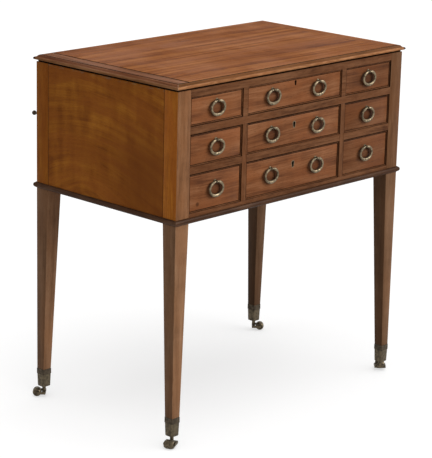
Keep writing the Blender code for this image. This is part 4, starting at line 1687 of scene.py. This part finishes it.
@dataclass
class Casters:
    """Square brass cups on the feet, with horns that swivel under them and barrel rollers."""

    collar: float = 13.0 * MM
    proud: float = 0.7 * MM
    taper: float = 0.9 * MM
    wall: float = 1.5 * MM
    neck: float = 4.3 * MM
    cheek: float = 2.4 * MM
    play: float = 0.4 * MM
    yoke: float = 6.4 * MM
    axle: float = 2.0 * MM
    barrel: float = 22.5 * MM
    land: float = 10.0 * MM
    crown: float = 3.0 * MM
    hub: float = 5.2 * MM
    floor: float = 6.0 * MM
    corner: float = 0.8 * MM
    outside: float = 9.6 * MM
    seed: int = 110

    def build_cup(self, size: Vector) -> Piece:
        """Model a cup about the middle of its foot.

        Args:
            size: Width, depth and height of the cup.

        Returns:
            The cup, standing on z = 0.
        """
        half = size.x / 2
        body = half - self.proud
        low = body - self.taper
        start = (low - 0.6 * MM, low - 0.6 * MM, 0.4 * MM)
        bench = Bench.box("cup_pattern", (-start[0], -start[0], 0), start)
        collar = size.z - self.collar
        rise = [(low, 1.2 * MM), (body, collar - 0.8 * MM), (body - 0.3 * MM, collar - 0.5 * MM),
                (body - 0.3 * MM, collar), (half, collar), (half, size.z - 0.4 * MM), (half - 0.4 * MM, size.z)]
        bench.climb([(width, width, level) for width, level in rise], start)
        bench.inset(self.wall).extrude((0, 0, self.floor - size.z))
        return bench.ease(self.corner, self.is_corner, 3).done()

    def is_corner(self, edge: Edge) -> bool:
        """Tell whether an edge runs up one of the cup's outer corners."""
        run = edge_run(edge)
        outer = all(min(abs(v.co.x), abs(v.co.y)) > self.outside for v in edge.verts)
        return outer and near(abs(run.x), abs(run.y)) and abs(run.z) > 0.05 * MM

    def build_horn(self, trail: float, axle: float, top: float, foot: float) -> Piece:
        """Model a horn: turned neck, fork and axle.

        Args:
            trail: Distance from the neck's middle to the axle.
            axle: Height of the axle.
            top: Height of the neck's top.
            foot: Height of the neck's bottom.

        Returns:
            The horn, with its fork along +X.
        """
        ring = self.neck + 1.4 * MM
        neck = Bench.turned("horn_pattern", [
            (0, foot), (self.neck - 0.6 * MM, foot), (self.neck, foot + 0.6 * MM), (self.neck, top - 3.4 * MM),
            (ring, top - 2.2 * MM), (ring, top - 1.0 * MM), (self.neck, top - 0.3 * MM), (0, top - 0.3 * MM),
        ]).done(Shading.ROUND)
        inner = self.barrel / 2 + self.play
        outer = inner + self.cheek
        half = self.yoke / 2
        fork = Bench.box("fork", (-self.neck, -outer, axle - half), (self.neck, outer, axle + half))
        for line in (-inner, inner):
            fork.cut(RIGHT, (self.neck, line, axle), BACKWARD)
        fork.pick(Part.FACES, lambda face: looks(face, RIGHT) and abs(face.calc_center_median().y) > inner)
        fork.extrude((trail + 0.8 * half - self.neck, 0, 0))
        fork.ease(0.42 * self.yoke, lambda edge: self.is_tip(edge, trail), 4)
        fork.ease(0.5 * MM, lambda edge: edge.calc_face_angle(0.0) > 1.2)
        fork = fork.done(Shading.ROUND)
        pin = Bench.turned("axle", [(0, -outer - 0.5 * MM), (0.6 * self.axle, -outer - 0.5 * MM),
                                    (self.axle, -outer - 0.1 * MM), (self.axle, outer + 0.1 * MM),
                                    (0.6 * self.axle, outer + 0.5 * MM), (0, outer + 0.5 * MM)], 24).done(Shading.ROUND)
        pin.data.transform(Matrix.Translation((trail, 0, axle)) @ TO_FRONT)
        return joined(neck, fork, pin)

    def is_tip(self, edge: Edge, trail: float) -> bool:
        """Tell whether an edge lies across the end of one of the fork's cheeks."""
        return all(v.co.x > trail for v in edge.verts) and abs(edge_run(edge).y) > MM

    def build_roller(self, radius: float) -> Piece:
        """Model a barrel roller about its own middle.

        Args:
            radius: Radius of the roller.

        Returns:
            The roller, with its axle along Y.
        """
        half, land = self.barrel / 2, self.land / 2
        bore, end = self.axle + 0.35 * MM, radius - self.crown
        right = [(radius, 0), (radius, land - 0.9 * MM), (radius - 0.35 * MM, land - 0.5 * MM),
                 (radius, land - 0.1 * MM), (radius - 0.25 * self.crown, land + 0.45 * (half - land)),
                 (radius - 0.62 * self.crown, land + 0.8 * (half - land)), (end, half), (self.hub + 0.6 * MM, half),
                 (self.hub, half - 0.5 * MM), (bore, half - 0.5 * MM)]
        profile = right + [(r, -y) for r, y in reversed(right[1:])] + [right[0]]
        roller = Bench.turned("roller_pattern", profile, 40).done()
        roller.data.transform(TO_FRONT)
        return roller

    def build(self) -> None:
        """Model each kind of piece once, and copy it to the four feet."""
        low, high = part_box("cup_front_left")
        hub = node_middle("wheel_front_left")
        radius = hub.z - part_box("wheel_front_left")[0].z
        trail = (hub - node_middle("cup_front_left")).xy.length
        patterns = {
            "cup": self.build_cup(high - low),
            "horn": self.build_horn(trail, hub.z, low.z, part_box("horn_front_left")[0].z),
            "roller": self.build_roller(radius),
        }
        for index, corner in enumerate(CORNERS):
            self.hang(patterns, corner, self.seed + 3 * index)
        discard(*patterns.values())

    def hang(self, patterns: dict[str, Piece], corner: str, seed: int) -> None:
        """Copy the pieces to one foot.

        Args:
            patterns: The pieces to copy.
            corner: The foot.
            seed: Shifts the tarnish.
        """
        low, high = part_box(f"cup_{corner}")
        foot, hub = node_middle(f"cup_{corner}"), node_middle(f"wheel_{corner}")
        heading = Matrix.Rotation(math.atan2(hub.y - foot.y, hub.x - foot.x), 4, "Z")
        places = {
            "cup": (Matrix.Translation((foot.x, foot.y, low.z)), "case", f"cup_{corner}"),
            "horn": (Matrix.Translation((foot.x, foot.y, 0)) @ heading, f"{corner}_swivel", f"horn_{corner}"),
            "roller": (Matrix.Translation(hub) @ heading, f"{corner}_roller", f"wheel_{corner}"),
        }
        for index, (kind, (place, body, node)) in enumerate(places.items()):
            piece = copied(patterns[kind], f"caster_{kind}_{corner}", place)
            paint(piece, (BRONZE.material(seed + index), None),
                  (COLLAR.material(seed + 50), lambda face: face.center.z > high.z - self.collar - 0.6 * MM))
            fit(piece, body, BRONZE.slot, node)


@dataclass
class LidHinges:
    """Two butt hinges on the back: a leaf on the case, a strap under the lid, five knuckles on a pin."""

    barrel: float = 3.2 * MM
    pin: float = 1.3 * MM
    leaf: float = 1.6 * MM
    knuckles: int = 5
    gap: float = 0.4 * MM
    screw: float = 3.2 * MM
    screw_places: tuple[float, ...] = (0.16, 0.5, 0.84)
    seed: int = 150

    def build_knuckle(self, length: float) -> Piece:
        """Model one knuckle along X about its own middle."""
        half, edge = length / 2, 0.3 * MM
        profile = [(self.pin, -half), (self.barrel - edge, -half), (self.barrel, edge - half),
                   (self.barrel, half - edge), (self.barrel - edge, half), (self.pin, half), (self.pin, -half)]
        knuckle = Bench.turned("knuckle_pattern", profile, 28).done(Shading.ROUND)
        knuckle.data.transform(TO_X)
        return knuckle

    def build_screw(self) -> Piece:
        """Model one countersunk screw head facing +Y, with its slot."""
        head = Bench.turned("screw_pattern", [(0, -0.4 * MM), (self.screw, -0.4 * MM), (self.screw, 0.05 * MM),
                                              (0.6 * self.screw, 0.2 * MM), (0, 0.25 * MM)], 24).done(Shading.FLAT)
        slot = Bench.box("screw_slot", (-4 * MM, -0.35 * MM, -0.1 * MM), (4 * MM, 0.35 * MM, MM))
        bored(head, slot.ease(0.05 * MM, every, 1).done())
        head.data.transform(TO_BACK)
        return head

    def build_strap(self, name: str, half: str, span: tuple[float, float], back: float, axis: Vector) -> Piece:
        """Model the strap that joins one knuckle to its half.

        Args:
            name: Name of the piece.
            half: The half that it belongs to.
            span: Where it starts and ends along X.
            back: Y of the case's back.
            axis: Middle of the pin.

        Returns:
            The strap.
        """
        if half == "lid":
            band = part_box("lid")[1].y - Lid.band_inset
            low, high = (band, axis.z + 1.5 * MM), (axis.y, axis.z + self.barrel - 0.1 * MM)
        else:
            low, high = (back, axis.z - self.barrel - 1.5 * MM), (back + self.leaf, axis.z - 0.2 * MM)
        return Bench.box(name, (span[0], *low), (span[1], *high)).ease(0.2 * MM, every).done()

    def build_pin(self, name: str, half: float, axis: Vector) -> Piece:
        """Model the pin along X.

        Args:
            name: Name of the piece.
            half: Half of its length.
            axis: Its middle.

        Returns:
            The pin.
        """
        radius = self.pin - 0.1 * MM
        pin = Bench.turned(name, [(0, -half), (radius, -half), (radius, half), (0, half)], 20).done(Shading.ROUND)
        pin.data.transform(Matrix.Translation(axis) @ TO_X)
        return pin

    def build(self) -> None:
        """Model the hinges and hang their two halves."""
        low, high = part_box("hinge_left")
        pitch = (high.x - low.x) / self.knuckles
        knuckle, screw = self.build_knuckle(pitch - self.gap), self.build_screw()
        for end, side in ENDS.items():
            self.hang(end, knuckle, screw, pitch, self.seed + side)
        discard(knuckle, screw)

    def hang(self, end: str, knuckle: Piece, screw: Piece, pitch: float, seed: int) -> None:
        """Assemble one hinge.

        Args:
            end: Left or right.
            knuckle: The knuckle to copy.
            screw: The screw to copy.
            pitch: Length of a knuckle with its gap.
            seed: Shifts the tarnish.
        """
        low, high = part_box(f"hinge_{end}")
        axis = Vector(((low.x + high.x) / 2, high.y - self.barrel, high.z - self.barrel))
        leaf = Bench.box(f"hinge_leaf_{end}", low, (high.x, low.y + self.leaf, axis.z - self.barrel - 0.4 * MM))
        halves = {"case": [leaf.ease(0.4 * MM, lambda edge: edge.calc_length() > MM).done()], "lid": []}
        reach = (pitch - self.gap) / 2
        for index in range(self.knuckles):
            x = low.x + (index + 0.5) * pitch
            half = "lid" if index % 2 else "case"
            place = Matrix.Translation((x, axis.y, axis.z))
            halves[half].append(copied(knuckle, f"hinge_knuckle_{end}_{index}", place))
            span = (x - reach, x + reach)
            halves[half].append(self.build_strap(f"hinge_strap_{end}_{index}", half, span, low.y, axis))
        for share in self.screw_places:
            place = (low.x + share * (high.x - low.x), low.y + self.leaf, low.z + 0.4 * (axis.z - low.z))
            turn = Matrix.Rotation(share * 5, 4, "Y")
            halves["case"].append(copied(screw, f"hinge_screw_{end}_{share}", Matrix.Translation(place) @ turn))
        halves["case"].append(self.build_pin(f"hinge_pin_{end}", (high.x - low.x) / 2, axis))
        for half, pieces in halves.items():
            piece = joined(*pieces)
            piece.name = f"hinge_{half}_half_{end}"
            nodes = (f"hinge_{end}",) if half == "case" else ()
            HINGE.cover(piece, seed, half, *nodes)


@dataclass
class RearKnob:
    """The small dark ball knob behind the rear left post."""

    stem: float = 2.4 * MM
    steps: int = 10
    seed: int = 160

    def build(self) -> None:
        """Model, dress and hang the knob."""
        low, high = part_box("rear_knob")
        ball = (high.x - low.x) / 2
        reach = high.y - low.y - ball
        profile = [(0, 0), (1.7 * self.stem, 0), (1.7 * self.stem, 0.8 * MM), (1.2 * self.stem, 1.5 * MM),
                   (self.stem, 2.4 * MM), (0.9 * self.stem, 0.5 * reach)]
        profile += ball_profile(ball, self.stem, reach, self.steps)
        knob = Bench.turned("knob_turning", profile).done(Shading.KNOB)
        place = node_middle("rear_knob")
        place.y = low.y
        knob.data.transform(Matrix.Translation(place) @ TO_BACK)
        KNOB.cover(knob, self.seed, "case", "rear_knob")


@dataclass
class Studio:
    """White floor, soft light and the camera of the photograph."""

    eye: Point = (-3.1966, -3.0296, 1.6304)
    right: Point = (0.693869, -0.719732, 0.023052)
    up: Point = (0.179626, 0.203994, 0.962352)
    focal_pixels: float = 1907.2
    sensor: float = 36.0
    floor_size: float = 60.0
    floor_glow: float = 0.60
    floor_shade: float = 0.50
    floor_bounce: float = 0.40
    overhead_power: float = 1.5
    overhead_angle: float = 64.0
    overhead_from: Point = (0.02, -0.28, 1.0)
    ambient: float = 0.52
    key_power: float = 2.05
    key_angle: float = 35.0
    key_from: Point = (0.62, -0.66, 0.42)

    def build(self) -> None:
        """Set up the whole studio."""
        bpy.context.scene.view_settings.view_transform = "Standard"
        self.lay_floor()
        self.light()
        self.place_camera()

    def seen(self, graph: Graph) -> Wire:
        """Give 1 for rays that show the background: camera, mirror and glass rays."""
        kinds = ("Camera", "Glossy", "Transmission")
        camera, glossy, glass = (graph.node("ShaderNodeLightPath", output=f"Is {kind} Ray") for kind in kinds)
        return graph.maths("MAXIMUM", graph.maths("MAXIMUM", camera, glossy), glass)

    def lay_floor(self) -> None:
        """Lay a white floor that keeps the table's shadow."""
        floor = Bench("floor", bpy.ops.mesh.primitive_plane_add, size=self.floor_size).done()
        material = bpy.data.materials.new("white_floor")
        material.use_nodes = True
        graph = Graph(material.node_tree)
        plain = graph.node("ShaderNodeBsdfDiffuse", {}, {"Color": (self.floor_bounce,) * 3})
        shade = graph.node("ShaderNodeBsdfDiffuse", {}, {"Color": (self.floor_shade,) * 3})
        glow = graph.node("ShaderNodeEmission", {}, {"Color": (1.0, 1.0, 1.0), "Strength": self.floor_glow})
        lit = graph.node("ShaderNodeAddShader", {}, {0: shade, 1: glow})
        mixed = graph.node("ShaderNodeMixShader", {}, {0: self.seen(graph), 1: plain, 2: lit})
        graph.feed(material.node_tree.nodes["Material Output"].inputs["Surface"], mixed)
        paint(floor, (material, None))

    def light(self) -> None:
        """Hang a soft light at the front right and one above the floor, in a pale room."""
        pieces = [piece for piece in bpy.context.scene.objects if piece.type == "MESH"]
        self.hang_lamp("soft_key", self.key_power, self.key_angle, self.key_from,
                       [piece for piece in pieces if piece.name != "floor"])
        self.hang_lamp("overhead", self.overhead_power, self.overhead_angle, self.overhead_from,
                       [piece for piece in pieces if piece.name == "floor"])
        world = bpy.data.worlds.new("pale_room")
        bpy.context.scene.world = world
        world.use_nodes = True
        graph = Graph(world.node_tree)
        strength = self.ambient + (1 - self.ambient) * self.seen(graph)
        room = graph.node("ShaderNodeBackground", {}, {"Color": (1.0, 1.0, 1.0), "Strength": strength})
        graph.feed(world.node_tree.nodes["World Output"].inputs["Surface"], room)

    def hang_lamp(self, name: str, power: float, angle: float, source: Point, receivers: Sequence[Piece]) -> None:
        """Hang a soft distant lamp.

        Args:
            name: Name of the lamp.
            power: Its strength.
            angle: Its width in degrees, as seen from the table.
            source: The direction that it shines from.
            receivers: What it lights.
        """
        data = bpy.data.lights.new(name, "SUN")
        data.energy = power
        data.angle = math.radians(angle)
        lamp = bpy.data.objects.new(name, data)
        lamp.rotation_euler = Vector(source).to_track_quat("Z", "Y").to_euler()
        bpy.context.scene.collection.objects.link(lamp)
        lamp.light_linking.receiver_collection = bpy.data.collections.new(f"lit_by_{name}")
        for piece in receivers:
            lamp.light_linking.receiver_collection.objects.link(piece)

    def place_camera(self) -> None:
        """Stand the camera where the photograph was taken."""
        data = bpy.data.cameras.new("photo_camera")
        data.sensor_fit = "AUTO"
        data.sensor_width = self.sensor
        data.lens = self.focal_pixels * self.sensor / max(IMAGE)
        camera = bpy.data.objects.new("photo_camera", data)
        right, up = Vector(self.right), Vector(self.up)
        turn = Matrix((right, up, right.cross(up))).transposed().to_4x4()
        camera.matrix_world = Matrix.Translation(self.eye) @ turn
        bpy.context.scene.collection.objects.link(camera)
        bpy.context.scene.camera = camera


def main() -> None:
    """Build and dress the table from the top down, then the studio."""
    logging.basicConfig(level=logging.INFO, format="%(message)s")
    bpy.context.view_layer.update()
    lid = Lid()
    lid.dress(lid.build())
    for index, (corner, tones) in enumerate(zip(CORNERS, POST_TONES_AND_SHADE)):
        post = Post(corner, POST_SEED + SEED_STEP * index, *tones)
        post.dress(post.build())
    CaseBoards().dress()
    moulding = WaistMoulding()
    moulding.dress(moulding.build())
    sham = ShamFront()
    sham.dress(sham.build())
    for index, (row, column) in enumerate((row, column) for row in ROWS for column in PULLS):
        drawer = Drawer(row, column, DRAWER_SEED + SEED_STEP * index)
        drawer.dress(drawer.build())
    RingPulls().build()
    Casters().build()
    LidHinges().build()
    RearKnob().build()
    Studio().build()


if __name__ == "__main__":
    main()
